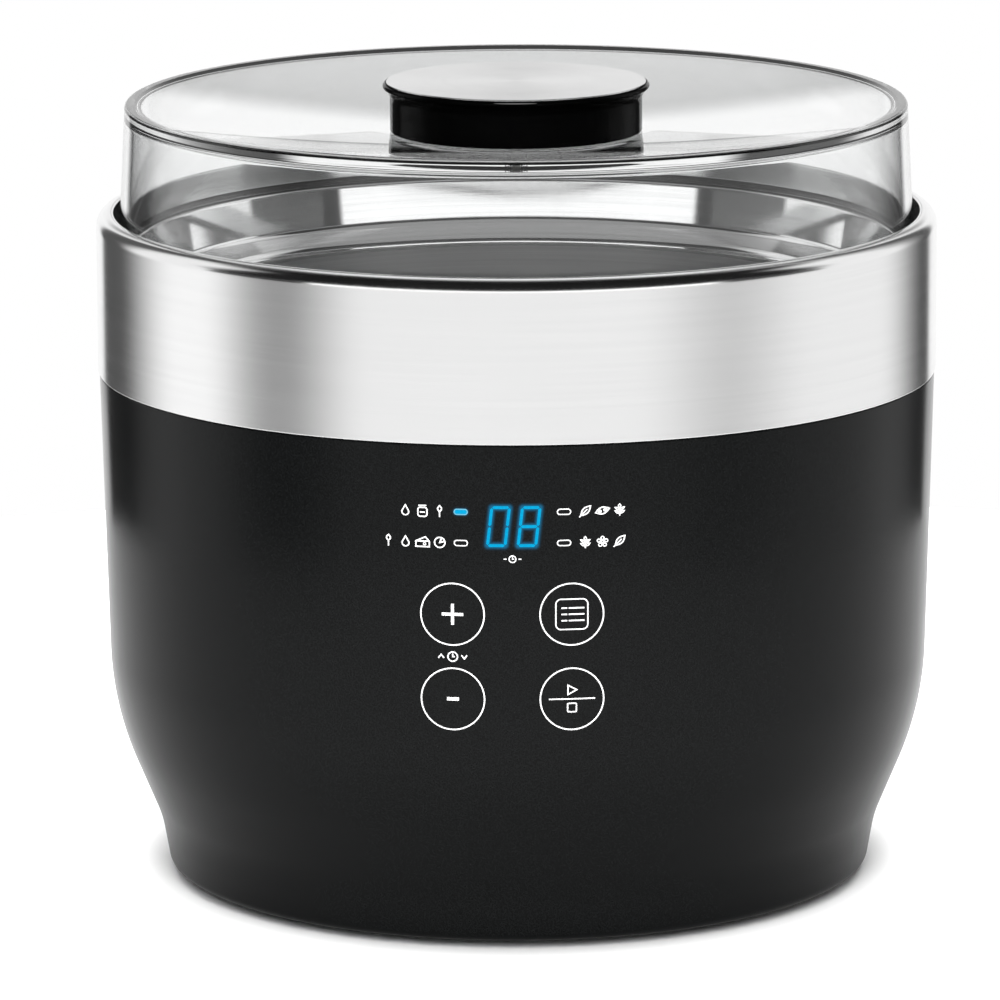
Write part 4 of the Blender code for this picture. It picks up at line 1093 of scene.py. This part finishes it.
@dataclass
class Electronics:
    """The boards, springs, screws and leads inside."""

    board_t: float = 1.6
    spring_r: float = 3.6
    wire_r: float = 0.4

    def make_touch_springs(self) -> bpy.types.Object:
        """The four springs that press on the wall behind the keys."""
        names = numbered("touch_spring", 4)
        low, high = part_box(names[0])
        start_y = high.y / MM - self.wire_r
        length = (high.y - low.y) / MM - 2 * self.wire_r
        places = [(middle_of(name)[0], start_y, middle_of(name)[2]) for name in names]
        base = add_object("touch_springs", point_mesh("touch_springs", places, [(math.pi / 2, 0.0, 0.0)] * 4))
        SPRING.run(base, {"Turns": 3.0, "Radius": self.spring_r * MM, "Wire": self.wire_r * MM,
                          "Length": length * MM, "Material": ZINC.material()})
        return keep(polish(base), "base", "zinc_steel", *names)

    def make_sensor_spring(self) -> bpy.types.Object:
        """The spring under the temperature sensor."""
        wire_r = 0.45
        low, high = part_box("sensor_spring")
        base = add_object("probe_spring", point_mesh("probe_spring", [(0.0, 0.0, low.z / MM + wire_r)],
                                                      [(0.0, 0.0, 0.0)]))
        SPRING.run(base, {"Turns": 4.0, "Radius": 4.6 * MM, "Wire": wire_r * MM,
                          "Length": high.z - low.z - 2 * wire_r * MM, "Material": ZINC.material()})
        return keep(polish(base), "base", "zinc_steel", "sensor_spring")

    def make_screws(self) -> None:
        """The screws of the control board and of the power board."""
        names = numbered("control_screw", 4)
        seat_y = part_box("control_board")[1].y / MM + GAP
        places = [(middle_of(name)[0], seat_y, middle_of(name)[2]) for name in names]
        item = pan_head_screw(2.4, 1.4, 1.0, self.board_t + GAP + 1.9)
        piece = repeated("control_screws", item, ZINC, places, [(math.pi / 2, 0.0, 0.0)] * 4)
        keep(piece, "base", "zinc_steel", *names)
        names = numbered("power_screw", 2)
        seat_z = top_of("power_board") + GAP
        places = [(middle_of(name)[0], middle_of(name)[1], seat_z) for name in names]
        screw = pan_head_screw(2.4, 1.4, 1.0, 6.5)
        piece = repeated("power_screws", screw, ZINC, places, [(math.pi, 0.0, 0.0)] * 2)
        keep(piece, "base", "zinc_steel", *names)

    def build(self) -> None:
        """Make the springs and screws and dress the other pieces."""
        self.make_touch_springs()
        self.make_sensor_spring()
        self.make_screws()
        dress_nodes(BOARD, "power_board", "control_board", "terminal_block")
        dress_nodes(WINDING, "transformer")
        dress_nodes(INNER_BLACK, "relay", "capacitor", "display_module")
        dress_nodes(GUIDE_CLEAR, *numbered("led_guide", 4))
        dress_nodes(RIBBON, "ribbon_cable", "sensor_lead")
        dress_nodes(RED_SHEATH, *numbered("heater_lead", 2))


# ---------------------------------------------------------------- the touch panel

class Artwork:
    """Flat print shapes in the panel's own plane: x to the right and z up, in millimetres."""

    STEP = 0.8                 # longest facet of a line

    def __init__(self) -> None:
        """Start with no shapes."""
        self.spots: list[Point] = []
        self.faces: list[tuple[int, ...]] = []

    def spot(self, point: Sequence[float]) -> int:
        """Add a point and return its number."""
        self.spots.append((point[0], point[1]))
        return len(self.spots) - 1

    def fine(self, points: Sequence[Point], closed: bool) -> list[Vector]:
        """The points of a line with more between them where they are far apart."""
        line = [Vector(point) for point in points]
        ends = line[1:] + line[:1] if closed else line[1:]
        fine: list[Vector] = []
        for start, end in zip(line, ends):
            steps = max(1, math.ceil((end - start).length / self.STEP))
            fine += [start.lerp(end, step / steps) for step in range(steps)]
        return fine if closed else [*fine, line[-1]]

    def stroke(self, points: Sequence[Point], width: float, closed: bool = False) -> None:
        """A line of even width through points."""
        line = self.fine(points, closed)
        count = len(line)
        rails = []
        for index, point in enumerate(line):
            before = line[index - 1] if closed or index else point
            after = line[(index + 1) % count] if closed or index < count - 1 else point
            into, out_of = point - before, after - point
            into = (into if into.length else out_of).normalized()
            out_of = (out_of if out_of.length else into).normalized()
            along = (into + out_of).normalized()
            side = Vector((-along.y, along.x)) * width / 2 / max(into.dot(along), 0.4)
            rails.append((self.spot(point + side), self.spot(point - side)))
        pairs = list(zip(rails, rails[1:])) + ([(rails[-1], rails[0])] if closed else [])
        for (left, right), (next_left, next_right) in pairs:
            self.faces.append((right, next_right, next_left, left))

    def fill(self, points: Sequence[Point]) -> None:
        """A filled convex shape."""
        area = sum(a[0] * b[1] - b[0] * a[1] for a, b in zip(points, [*points[1:], points[0]]))
        ordered = points if area > 0 else points[::-1]
        self.faces.append(tuple(self.spot(point) for point in ordered))

    def ring(self, centre: Point, radius: float, width: float) -> None:
        """A circle drawn with a line."""
        self.stroke(arc(centre, radius, 0, 360)[:-1], width, closed=True)

    def mesh(self, name: str, start_y: float) -> bpy.types.Mesh:
        """The shapes as a flat mesh in a plane before the surface."""
        mesh = bpy.data.meshes.new(name)
        mesh.from_pydata([Vector((x, start_y, z)) * MM for x, z in self.spots], [], self.faces)
        return mesh


def oblong(centre: Point, width: float, height: float, radius: float) -> list[Point]:
    """The outline of a rectangle with rounded corners."""
    x, z = centre
    w, h = width / 2, height / 2
    signs = ((-1, -1), (1, -1), (1, 1), (-1, 1))
    return rounded([(x + w * across, z + h * up, radius) for across, up in signs])


def lens(start: Point, end: Point, bulge: float) -> list[Point]:
    """The outline of a leaf between two points."""
    a, b = Vector(start), Vector(end)
    side = Vector((a.y - b.y, b.x - a.x)).normalized()
    steps = 8
    there = [a.lerp(b, k / steps) + side * bulge * math.sin(math.pi * k / steps) for k in range(steps)]
    back = [b.lerp(a, k / steps) - side * bulge * math.sin(math.pi * k / steps) for k in range(steps)]
    return [tuple(point) for point in there + back]


@dataclass
class Pictograms:
    """Draws the symbols, each about as high as a line of print."""

    art: Artwork
    line: float = 0.32

    def draw(self, symbol: Symbol, x: float, z: float) -> None:
        """Draw a symbol with its middle at a place."""
        getattr(self, symbol.value)(x, z)

    def jar(self, x: float, z: float) -> None:
        """A yogurt jar with its lid."""
        self.art.stroke(oblong((x, z - 0.3), 2.3, 2.3, 0.6), self.line, closed=True)
        self.art.stroke([(x - 1.0, z + 1.35), (x + 1.0, z + 1.35)], self.line)
        self.art.stroke([(x - 0.65, z - 0.35), (x + 0.65, z - 0.35)], self.line)

    def spoon(self, x: float, z: float) -> None:
        """A spoon that stands on its handle."""
        self.art.stroke(lens((x, z + 1.45), (x, z - 0.1), 0.5), self.line, closed=True)
        self.art.stroke([(x, z - 0.1), (x, z - 1.45)], self.line)

    def wedge(self, x: float, z: float) -> None:
        """A wedge of cheese."""
        self.art.stroke([(x - 1.7, z - 1.2), (x + 1.7, z - 1.2), (x + 1.7, z + 0.2), (x + 0.7, z + 1.3),
                         (x - 1.7, z + 0.2)], self.line, closed=True)
        self.art.stroke([(x - 1.7, z + 0.2), (x + 1.7, z + 0.2)], self.line)
        self.art.ring((x + 0.5, z - 0.5), 0.3, self.line * 0.7)

    def wheel(self, x: float, z: float) -> None:
        """A round cheese with a piece marked out."""
        self.art.ring((x, z), 1.3, self.line)
        self.art.stroke([(x + 1.2, z + 0.3), (x, z), (x + 0.5, z + 1.2)], self.line)

    def leaf(self, x: float, z: float) -> None:
        """A leaf with its midrib."""
        self.art.stroke(lens((x - 1.1, z - 1.1), (x + 1.3, z + 1.3), 0.75), self.line, closed=True)
        self.art.stroke([(x - 1.5, z - 1.5), (x + 0.5, z + 0.5)], self.line)

    def pod(self, x: float, z: float) -> None:
        """A pod with two beans."""
        self.art.stroke(lens((x - 1.7, z - 0.5), (x + 1.7, z + 0.5), 0.85), self.line, closed=True)
        for side in (-0.65, 0.65):
            self.art.ring((x + side, z + side * 0.3), 0.3, self.line)

    def sprig(self, x: float, z: float) -> None:
        """A stem with pairs of small leaves."""
        self.art.stroke([(x, z - 1.5), (x, z + 0.7)], self.line)
        self.art.stroke(lens((x, z + 0.5), (x, z + 1.5), 0.3), self.line * 0.8, closed=True)
        for level in (-0.9, 0.0):
            for side in (-1, 1):
                self.art.stroke(lens((x, z + level), (x + side * 1.15, z + level + 0.65), 0.24),
                                self.line * 0.8, closed=True)

    def flower(self, x: float, z: float) -> None:
        """A small flower."""
        self.art.ring((x, z), 0.35, self.line)
        for turn in range(5):
            angle = math.radians(90 + 72 * turn)
            self.art.ring((x + 0.95 * math.cos(angle), z + 0.95 * math.sin(angle)), 0.4, self.line * 0.8)

    def drop(self, x: float, z: float) -> None:
        """A drop of milk."""
        round_part = arc((x, z - 0.4), 0.85, -215, 35)
        self.art.stroke([*round_part, (x, z + 1.3)], self.line, closed=True)

    def clock(self, x: float, z: float) -> None:
        """A clock face with its hands."""
        self.art.ring((x, z), 1.2, self.line)
        self.art.stroke([(x, z + 0.8), (x, z), (x + 0.55, z)], self.line)

    def up(self, x: float, z: float) -> None:
        """A small arrowhead that points up."""
        self.art.stroke([(x - 0.7, z - 0.4), (x, z + 0.5), (x + 0.7, z - 0.4)], self.line)

    def down(self, x: float, z: float) -> None:
        """A small arrowhead that points down."""
        self.art.stroke([(x - 0.7, z + 0.4), (x, z - 0.5), (x + 0.7, z + 0.4)], self.line)

    def play(self, x: float, z: float) -> None:
        """A triangle for start."""
        self.art.stroke([(x - 1.0, z - 1.2), (x + 1.2, z), (x - 1.0, z + 1.2)], self.line, closed=True)

    def stop(self, x: float, z: float) -> None:
        """A square for stop."""
        self.art.stroke(oblong((x, z), 2.2, 2.2, 0.3), self.line, closed=True)


@dataclass
class TouchPanel:
    """What is printed on the housing and what shines through it."""

    shell: bpy.types.Object
    lights_drop: float = 17.1      # from the seam down to the upper row of lights
    light_pitch: float = 8.0
    light_x: float = 12.9
    light_size: tuple[float, float] = (3.3, 1.35)
    light_line: float = 0.27
    key_xs: tuple[float, float] = (-15.1, 14.8)
    key_drops: tuple[float, float] = (43.5, 65.4)
    key_r: float = 7.95
    key_line: float = 0.35
    label_x: float = 18.2
    label_pitch: float = 4.3
    digit_size: tuple[float, float] = (4.4, 9.75)
    digit_pitch: float = 7.65
    digit_x: float = 0.35
    digit_line: float = 0.74
    digit_slant: float = math.tan(math.radians(6.5))
    segment_gap: float = 0.10
    lift: float = 0.02
    thickness: float = 0.02
    glow_reach: float = 0.5

    def __post_init__(self) -> None:
        """Read the heights that the frame gives."""
        seam_z = base_of("steel_band")
        self.light_z = seam_z - self.lights_drop
        self.key_z = [seam_z - drop for drop in self.key_drops]
        self.start_y = -radius_of("steel_band") - 5.0

    def lay(self, name: str, art: Artwork, finish: Finish, slot: str, lift: float) -> bpy.types.Object:
        """Lay flat shapes on the shell as one piece."""
        base = add_object(name, art.mesh(name, self.start_y))
        PRINT.run(base, {"Surface": self.shell, "Lift": lift * MM, "Thickness": self.thickness * MM,
                         "Material": finish.material()})
        return keep(polish(base), "base", slot)

    def draw_keys(self) -> Artwork:
        """The four touch rings and the marks in them."""
        art = Artwork()
        for z in self.key_z:
            for x in self.key_xs:
                art.ring((x, z), self.key_r, self.key_line)
        upper, lower = self.key_z
        left, right = self.key_xs
        plus, minus, thick = 2.7, 1.5, 0.75
        art.stroke([(left - plus, upper), (left + plus, upper)], thick)
        for start, end in ((thick / 2, plus), (-plus, -thick / 2)):
            art.stroke([(left, upper + start), (left, upper + end)], thick)
        art.stroke([(left - minus, lower), (left + minus, lower)], thick + 0.1)
        art.stroke(oblong((right, upper), 8.0, 7.8, 1.3), 0.31, closed=True)
        for row in (-1, 0, 1):
            z = upper + row * 1.62
            art.stroke([(right - 2.6, z), (right - 1.17, z)], 0.36)
            art.stroke([(right - 0.78, z), (right + 3.15, z)], 0.36)
        art.stroke([(right - 5.8, lower), (right + 5.8, lower)], 0.33)
        return art

    def draw_symbols(self) -> Artwork:
        """The pictograms beside the lights, under the display and on the keys."""
        art = Artwork()
        pens = Pictograms(art)
        upper, lower = self.key_z
        rows = (self.light_z, self.light_z - self.light_pitch)
        labels = (
            (-1, rows[0], (Symbol.SPOON, Symbol.JAR, Symbol.DROP)),
            (-1, rows[1], (Symbol.WHEEL, Symbol.WEDGE, Symbol.DROP, Symbol.SPOON)),
            (1, rows[0], (Symbol.LEAF, Symbol.POD, Symbol.SPRIG)),
            (1, rows[1], (Symbol.SPRIG, Symbol.FLOWER, Symbol.LEAF)),
        )
        for side, z, symbols in labels:
            for place, symbol in enumerate(symbols):
                pens.draw(symbol, side * (self.label_x + place * self.label_pitch), z)
        left, right = self.key_xs
        pens.draw(Symbol.UP, left - 2.9, (upper + lower) / 2)
        pens.draw(Symbol.CLOCK, left, (upper + lower) / 2)
        pens.draw(Symbol.DOWN, left + 2.9, (upper + lower) / 2)
        pens.draw(Symbol.PLAY, right, lower + 2.35)
        pens.draw(Symbol.STOP, right, lower - 2.25)
        small = Pictograms(art, line=0.26)
        small_z = self.light_z - 12.0
        art.ring((0.0, small_z), 0.85, small.line)
        art.stroke([(0.0, small_z + 0.55), (0.0, small_z), (0.4, small_z)], small.line)
        for side in (-1, 1):
            art.stroke([(side * 1.5, small_z), (side * 2.2, small_z)], small.line)
        return art

    def light_places(self) -> list[Point]:
        """Middles of the four lights."""
        return [(side * self.light_x, self.light_z - row * self.light_pitch)
                for row in (0, 1) for side in (-1, 1)]

    def draw_light_frames(self) -> Artwork:
        """The outlines round the lights."""
        art = Artwork()
        wide, high = self.light_size
        for place in self.light_places()[1:]:
            art.stroke(oblong(place, wide, high, high * 0.49), self.light_line, closed=True)
        return art

    def draw_lit_light(self) -> Artwork:
        """The one light that is on."""
        art = Artwork()
        wide, high = self.light_size
        art.fill(oblong(self.light_places()[0], wide - 0.3, high - 0.3, (high - 0.3) * 0.49))
        return art

    def draw_lit_frame(self) -> Artwork:
        """The pale outline round the light that is on."""
        art = Artwork()
        wide, high = self.light_size
        art.stroke(oblong(self.light_places()[0], wide, high, high * 0.49), self.light_line, closed=True)
        return art

    def segments(self) -> list[list[Point]]:
        """The outlines of the lit segments of the two digits."""
        wide, high = self.digit_size
        half, gap = self.digit_line / 2, self.segment_gap
        middle_z = self.light_z - self.light_pitch / 2 + 0.35
        left, right, top, mid, low = -wide / 2, wide / 2, high / 2, 0.0, -high / 2
        spans = {
            "top": ((left, top), (right, top)), "middle": ((left, mid), (right, mid)),
            "low": ((left, low), (right, low)), "left_up": ((left, mid), (left, top)),
            "right_up": ((right, mid), (right, top)), "left_low": ((left, low), (left, mid)),
            "right_low": ((right, low), (right, mid)),
        }
        shapes = []
        for digit, unlit in ((-1, {"middle"}), (1, set())):
            for name, (start, end) in spans.items():
                if name in unlit:
                    continue
                a, b = Vector(start), Vector(end)
                along = (b - a).normalized()
                side = Vector((-along.y, along.x)) * half
                a, b = a + along * gap, b - along * gap
                cornered = [a, a + along * half + side, b - along * half + side, b,
                            b - along * half - side, a + along * half - side]
                middle_x = self.digit_x + digit * self.digit_pitch / 2
                shapes.append([(middle_x + p.x + p.y * self.digit_slant, middle_z + p.y) for p in cornered])
        return shapes

    def draw_digits(self) -> Artwork:
        """The two digits."""
        art = Artwork()
        for shape in self.segments():
            art.fill(shape)
        return art

    def glow_at(self, spot: Vector) -> float:
        """Strength of the light that spreads in the wall at a place, from the nearest lit shapes."""
        total = 0.0
        for start, end in self.cores:
            run = end - start
            share = max(0.0, min(1.0, (spot - start).dot(run) / run.length_squared))
            distance = (spot - start - run * share).length
            total = max(total, math.exp(-((max(distance - 0.3, 0.0) / self.glow_reach) ** 2)))
        return total

    def make_window(self) -> bpy.types.Object:
        """The thin place in the wall that glows round the digits."""
        self.cores = []
        for shape in self.segments():
            self.cores.append((Vector(shape[0]), Vector(shape[3])))
        x, z = self.light_places()[0]
        reach = self.light_size[0] / 2 - self.light_size[1] / 2
        self.cores.append((Vector((x - reach, z)), Vector((x + reach, z))))
        wide, high, step = 34.0, 17.0, 0.25
        middle_z = self.light_z - self.light_pitch / 2
        columns, rows = round(wide / step), round(high / step)
        art = Artwork()
        for row in range(rows + 1):
            for column in range(columns + 1):
                art.spot((-wide / 2 + column * step, middle_z - high / 2 + row * step))
        for row in range(rows):
            for column in range(columns):
                first = row * (columns + 1) + column
                art.faces.append((first, first + 1, first + columns + 2, first + columns + 1))
        base = add_object("display_window", art.mesh("display_window", self.start_y))
        store = base.data.attributes.new("glow", "FLOAT", "POINT")
        for index, spot in enumerate(art.spots):
            store.data[index].value = self.glow_at(Vector(spot))
        PRINT.run(base, {"Surface": self.shell, "Lift": -0.006 * MM, "Thickness": 0.014 * MM,
                         "Material": BLACK_SATIN.material()})
        return keep(polish(base), "base", "satin_black")

    def build(self) -> None:
        """Lay every print and light on the shell."""
        self.make_window()
        self.lay("key_prints", self.draw_keys(), GLOWING_WHITE_INK, "panel_print", self.lift)
        self.lay("symbol_prints", self.draw_symbols(), GLOWING_WHITE_INK, "panel_print", self.lift)
        self.lay("light_frames", self.draw_light_frames(), GLOWING_WHITE_INK, "panel_print", self.lift)
        self.lay("lit_light", self.draw_lit_light(), BLUE_LIGHT, "display_light", self.lift)
        self.lay("lit_light_frame", self.draw_lit_frame(), LIT_FRAME, "display_light", self.lift + 0.03)
        self.lay("display_digits", self.draw_digits(), BLUE_LIGHT, "display_light", self.lift)


# ---------------------------------------------------------------- the lid

@dataclass
class LidCover:
    """The clear lid: a straight wall, a rounded rim and a dished top."""

    wall: float = 2.6
    draft: float = 1.9
    dish_depth: float = 8.0
    dish_slope_deg: float = 4.0
    neck_r: float = 33.0
    hole_r: float = 2.0
    rim_fillet: float = 0.95
    dish_fillet: float = 0.5
    inner_fillet: float = 1.5

    def outline(self) -> list[Point]:
        """The lid's section."""
        low_z, top_z, outer_r = base_of("lid_cover"), top_of("lid_cover"), radius_of("lid_cover")
        top_r = outer_r - self.draft
        dish_r = top_r - self.wall
        seat_z, seat_r = top_z - self.dish_depth, self.neck_r + 1.0
        span = dish_r - seat_r
        slope = math.tan(math.radians(self.dish_slope_deg))
        bend = (self.dish_depth - slope * span) / span ** 2
        steps = 28
        top = [(self.hole_r, seat_z), (seat_r - 0.5, seat_z)]
        for step in range(1, steps):
            run = span * step / steps
            top.append((seat_r + run, seat_z + slope * run + bend * run ** 2))
        under = offset([*top, (dish_r, top_z)], -self.wall)[:-1]
        under[0] = (self.hole_r, under[0][1])
        under_z = top_z - self.wall
        wall_r = outer_r - self.wall - self.draft * (under_z - low_z) / (top_z - low_z)
        return rounded([
            (outer_r - self.wall, low_z, 0.6),
            (outer_r, low_z, 0.6),
            (top_r, top_z, self.rim_fillet),
            (dish_r, top_z, self.dish_fillet),
            *[(radius, height, 0.0) for radius, height in reversed(top)],
            *[(radius, height, 0.0) for radius, height in under if radius < wall_r - 3.0],
            (wall_r, under_z, self.inner_fillet),
        ])

    def build(self) -> None:
        """Make the cover."""
        keep(turned("clear_cover", self.outline(), CLEAR), "lid", "clear_plastic", "lid_cover")


@dataclass
class Knob:
    """The knob with its flared lip and steel inlay, and the screw and washer that hold it."""

    neck_r: float = 33.0
    wall: float = 2.6
    inlay_h: float = 0.6
    edge: float = 0.65
    edge_drop: float = 0.35        # how far the lip's top lies below the inlay's
    flare_r: float = 3.6

    def make_body(self) -> bpy.types.Object:
        """The gloss black body, open below round its screw boss."""
        low_z, top_z, outer_r = base_of("lid_knob"), top_of("lid_knob"), radius_of("lid_knob")
        recess_z = top_z - self.inlay_h - GAP
        roof_z = recess_z - self.wall
        recess_r = outer_r - self.edge
        hole_top_z, hole_r, boss_r = roof_z - 1.0, 1.6, 5.0
        flare = arc((self.neck_r + self.flare_r, top_z - 4.7), self.flare_r, 180, 122)
        lip_z = top_z - self.edge_drop
        lip = arc((outer_r - 0.75, lip_z - 0.8), 0.75, -40, 62)
        outline = [
            (0.0, hole_top_z), (hole_r, hole_top_z), (hole_r, low_z), (boss_r, low_z), (boss_r, roof_z),
            (self.neck_r - self.wall, roof_z), (self.neck_r - self.wall, low_z),
            (self.neck_r - 0.25, low_z), (self.neck_r, low_z + 0.25), (self.neck_r, top_z - 4.7 - GUARD),
            *flare, *lip, (recess_r + 0.12, lip_z), (recess_r, lip_z - 0.1),
            (recess_r, recess_z), (0.0, recess_z),
        ]
        return turned("knob_body", outline, KNOB_GLOSS)

    def build(self) -> None:
        """Make the body, the inlay, the screw and the washer."""
        keep(self.make_body(), "lid", "gloss_black", "lid_knob")
        inlay_r, top_z = radius_of("knob_inlay"), top_of("knob_inlay")
        disc = [(0.0, top_z - self.inlay_h), (inlay_r, top_z - self.inlay_h),
                *arc((inlay_r - 0.15, top_z - 0.15), 0.15, 0, 90), (inlay_r - 1.0, top_z), (0.0, top_z)]
        keep(turned("knob_disc", disc, INLAY_STEEL), "lid", "brushed_steel", "knob_inlay")
        low_z, high_z = base_of("knob_washer"), top_of("knob_washer")
        ring = rounded([(1.7, low_z, 0.1), (7.0, low_z, 0.3), (7.0, high_z, 0.3), (1.7, high_z, 0.1)])
        keep(turned("seal_washer", ring, RUBBER, SMALL_STEPS), "lid", "black_rubber", "knob_washer")
        seat_z = low_z - GAP
        screw = pan_head_screw(4.5, 2.0, 1.3, top_of("knob_screw") - seat_z)
        screw.name = "centre_screw"
        keep(moved(screw, (0.0, 0.0, seat_z)), "lid", "zinc_steel", "knob_screw")


# ---------------------------------------------------------------- the studio

@dataclass(frozen=True)
class Card:
    """A lit or dark card round the object, seen only in reflections.

    Azimuth 0 is towards the camera and grows to the right, all angles are in degrees.
    """

    azimuth: float
    half_width: float
    soft: float
    low: float
    high: float
    edge: float
    brightness: float


@dataclass(frozen=True)
class Lamp:
    """A lamp that points at the origin; only the named pieces mirror it."""

    name: str
    place: Place
    size: float
    power: float
    mirrored_in: tuple[str, ...] = ()
    height: float | None = None    # a strip of this height instead of a round lamp

    def build(self) -> None:
        """Make the lamp."""
        lamp = bpy.data.lights.new(self.name, "AREA")
        lamp.shape = "RECTANGLE" if self.height else "DISK"
        lamp.size = self.size * MM
        if self.height:
            lamp.size_y = self.height * MM
        lamp.energy = self.power
        holder = bpy.data.objects.new(self.name, lamp)
        holder.location = Vector(self.place) * MM
        holder.rotation_euler = (-Vector(self.place)).to_track_quat("-Z", "Y").to_euler()
        holder.visible_camera = False
        if self.mirrored_in:
            group = bpy.data.collections.new(f"lit_by_{self.name}")
            for name in self.mirrored_in:
                group.objects.link(bpy.data.objects[name])
            holder.light_linking.receiver_collection = group
        else:
            holder.visible_glossy = False
            holder.visible_transmission = False
        bpy.context.scene.collection.objects.link(holder)


@dataclass
class Studio:
    """The floor, the surroundings, the lamp and the camera."""

    floor_r: float = 480.0
    surround: float = 0.93
    lamps: tuple[Lamp, ...] = (
        Lamp("overhead", (0.0, 0.0, 1500.0), 1400.0, 60.0),
        Lamp("front", (0.0, -1500.0, 900.0), 1000.0, 42.0),
        Lamp("well", (0.0, 0.0, 1400.0), 2400.0, 4.0, ("steel_well", "clear_cover")),
        Lamp("knob", (0.0, -900.0, 1100.0), 700.0, 110.0, ("knob_body",)),
        Lamp("flare_front", (0.0, -900.0, -40.0), 1300.0, 16.0, ("knob_body",), height=70.0),
        Lamp("flare_left", (-900.0, 0.0, -40.0), 1300.0, 16.0, ("knob_body",), height=70.0),
        Lamp("flare_right", (900.0, 0.0, -40.0), 1300.0, 16.0, ("knob_body",), height=70.0),
    )
    view_elevation: float = 0.204694
    view_azimuth_deg: float = 0.8
    view_roll: float = -0.0037896
    view_distance: float = 2000.0
    aim: Place = (-4.588, 0.0, 98.605)
    lens: float = 272.5
    cards: tuple[Card, ...] = (
        Card(-104.0, 26.0, 20.0, -90.0, 90.0, 10.0, 1.06),
        Card(-67.0, 14.5, 27.0, -90.0, 90.0, 10.0, 0.34),
        Card(60.0, 14.0, 30.0, -90.0, 90.0, 10.0, 0.64),
        Card(-174.0, 53.0, 32.0, -90.0, 90.0, 10.0, 0.08),
        Card(180.0, 24.0, 5.0, -90.0, 90.0, 10.0, 1.0),
        Card(0.0, 130.0, 10.0, 14.0, 120.0, 3.0, 0.01),
        Card(180.0, 60.0, 10.0, 60.0, 130.0, 16.0, 0.02),
        Card(180.0, 17.0, 12.0, 14.0, 33.0, 6.0, 0.26),
        Card(112.0, 18.0, 14.0, -5.0, 45.0, 14.0, 0.95),
        Card(-112.0, 18.0, 14.0, -5.0, 45.0, 14.0, 0.95),
        Card(74.0, 17.0, 3.0, 1.0, 15.0, 2.0, 0.04),
        Card(-74.0, 17.0, 3.0, 1.0, 15.0, 2.0, 0.04),
        Card(0.0, 57.0, 2.0, 1.0, 13.5, 2.0, 1.35),
    )

    def make_world(self) -> None:
        """Surroundings made of soft-edged cards, one over another."""
        world = bpy.data.worlds.new("studio")
        world.use_nodes = True
        bpy.context.scene.world = world
        sheet = Sheet(world.node_tree)
        toward = sheet.add("ShaderNodeSeparateXYZ", inputs={
            0: sheet.add("ShaderNodeTexCoord").outputs["Generated"]}).outputs
        front = sheet.math("MULTIPLY", toward["Y"], -1.0)
        azimuth = sheet.math("DEGREES", sheet.math("ARCTAN2", toward["X"], front))
        elevation = sheet.math("DEGREES", sheet.math("ARCSINE", toward["Z"]))
        value: Any = self.surround
        for card in self.cards:
            turn = sheet.math("ABSOLUTE", sheet.math("WRAP", sheet.math("SUBTRACT", azimuth, card.azimuth),
                                                     180.0, -180.0))
            mask = sheet.math("MULTIPLY", self.fade(sheet, turn, card.half_width, card.soft),
                              self.fade(sheet, self.off_middle(sheet, elevation, card),
                                        (card.high - card.low) / 2, card.edge))
            value = sheet.add("ShaderNodeMix", {"data_type": "FLOAT"},
                              {0: mask, 2: value, 3: card.brightness}).outputs[0]
        back = sheet.add("ShaderNodeBackground", inputs={"Color": (1, 1, 1, 1), "Strength": value})
        sheet.add("ShaderNodeOutputWorld", inputs={"Surface": back})

    def off_middle(self, sheet: Sheet, elevation: Any, card: Card) -> Any:
        """How far an elevation is from the middle of a card."""
        return sheet.math("ABSOLUTE", sheet.math("SUBTRACT", elevation, (card.low + card.high) / 2))

    def fade(self, sheet: Sheet, distance: Any, half: float, soft: float) -> Any:
        """1 inside a half width and 0 beyond it, with a soft edge."""
        return sheet.add("ShaderNodeMapRange", {"interpolation_type": "SMOOTHSTEP"}, {
            0: distance, 1: half - soft / 2, 2: half + soft / 2, 3: 1.0, 4: 0.0}).outputs[0]

    def make_floor(self) -> None:
        """A round white table."""
        work = bmesh.new()
        bmesh.ops.create_circle(work, cap_ends=True, segments=128, radius=self.floor_r * MM)
        mesh = bpy.data.meshes.new("floor")
        work.to_mesh(mesh)
        work.free()
        floor = add_object("floor", mesh)
        mesh.materials.append(TABLE.material())

    def make_camera(self) -> None:
        """A long lens a little above the object."""
        camera = bpy.data.cameras.new("camera")
        camera.lens = self.lens
        camera.sensor_width = 36.0
        holder = bpy.data.objects.new("camera", camera)
        out = Vector((0.0, -math.cos(self.view_elevation), math.sin(self.view_elevation)))
        swing = Matrix.Rotation(math.radians(self.view_azimuth_deg), 4, "Z")
        start = Matrix.Translation((Vector(self.aim) + out * self.view_distance) * MM)
        tilt = Matrix.Rotation(math.pi / 2 - self.view_elevation, 4, "X")
        holder.matrix_world = swing @ start @ tilt @ Matrix.Rotation(self.view_roll, 4, "Z")
        bpy.context.scene.collection.objects.link(holder)
        bpy.context.scene.camera = holder

    def build(self) -> None:
        """Set up the whole studio."""
        bpy.context.scene.view_settings.view_transform = "Standard"
        self.make_world()
        self.make_floor()
        self.make_camera()
        for lamp in self.lamps:
            lamp.build()


def main() -> None:
    """Build every sub-assembly in order."""
    logging.basicConfig(level=logging.INFO, format="%(name)s: %(message)s")
    shell = Housing().build()
    SteelRim().build()
    Well().build()
    Underside().build()
    Electronics().build()
    TouchPanel(shell).build()
    LidCover().build()
    Knob().build()
    Studio().build()


if __name__ == "__main__":
    main()
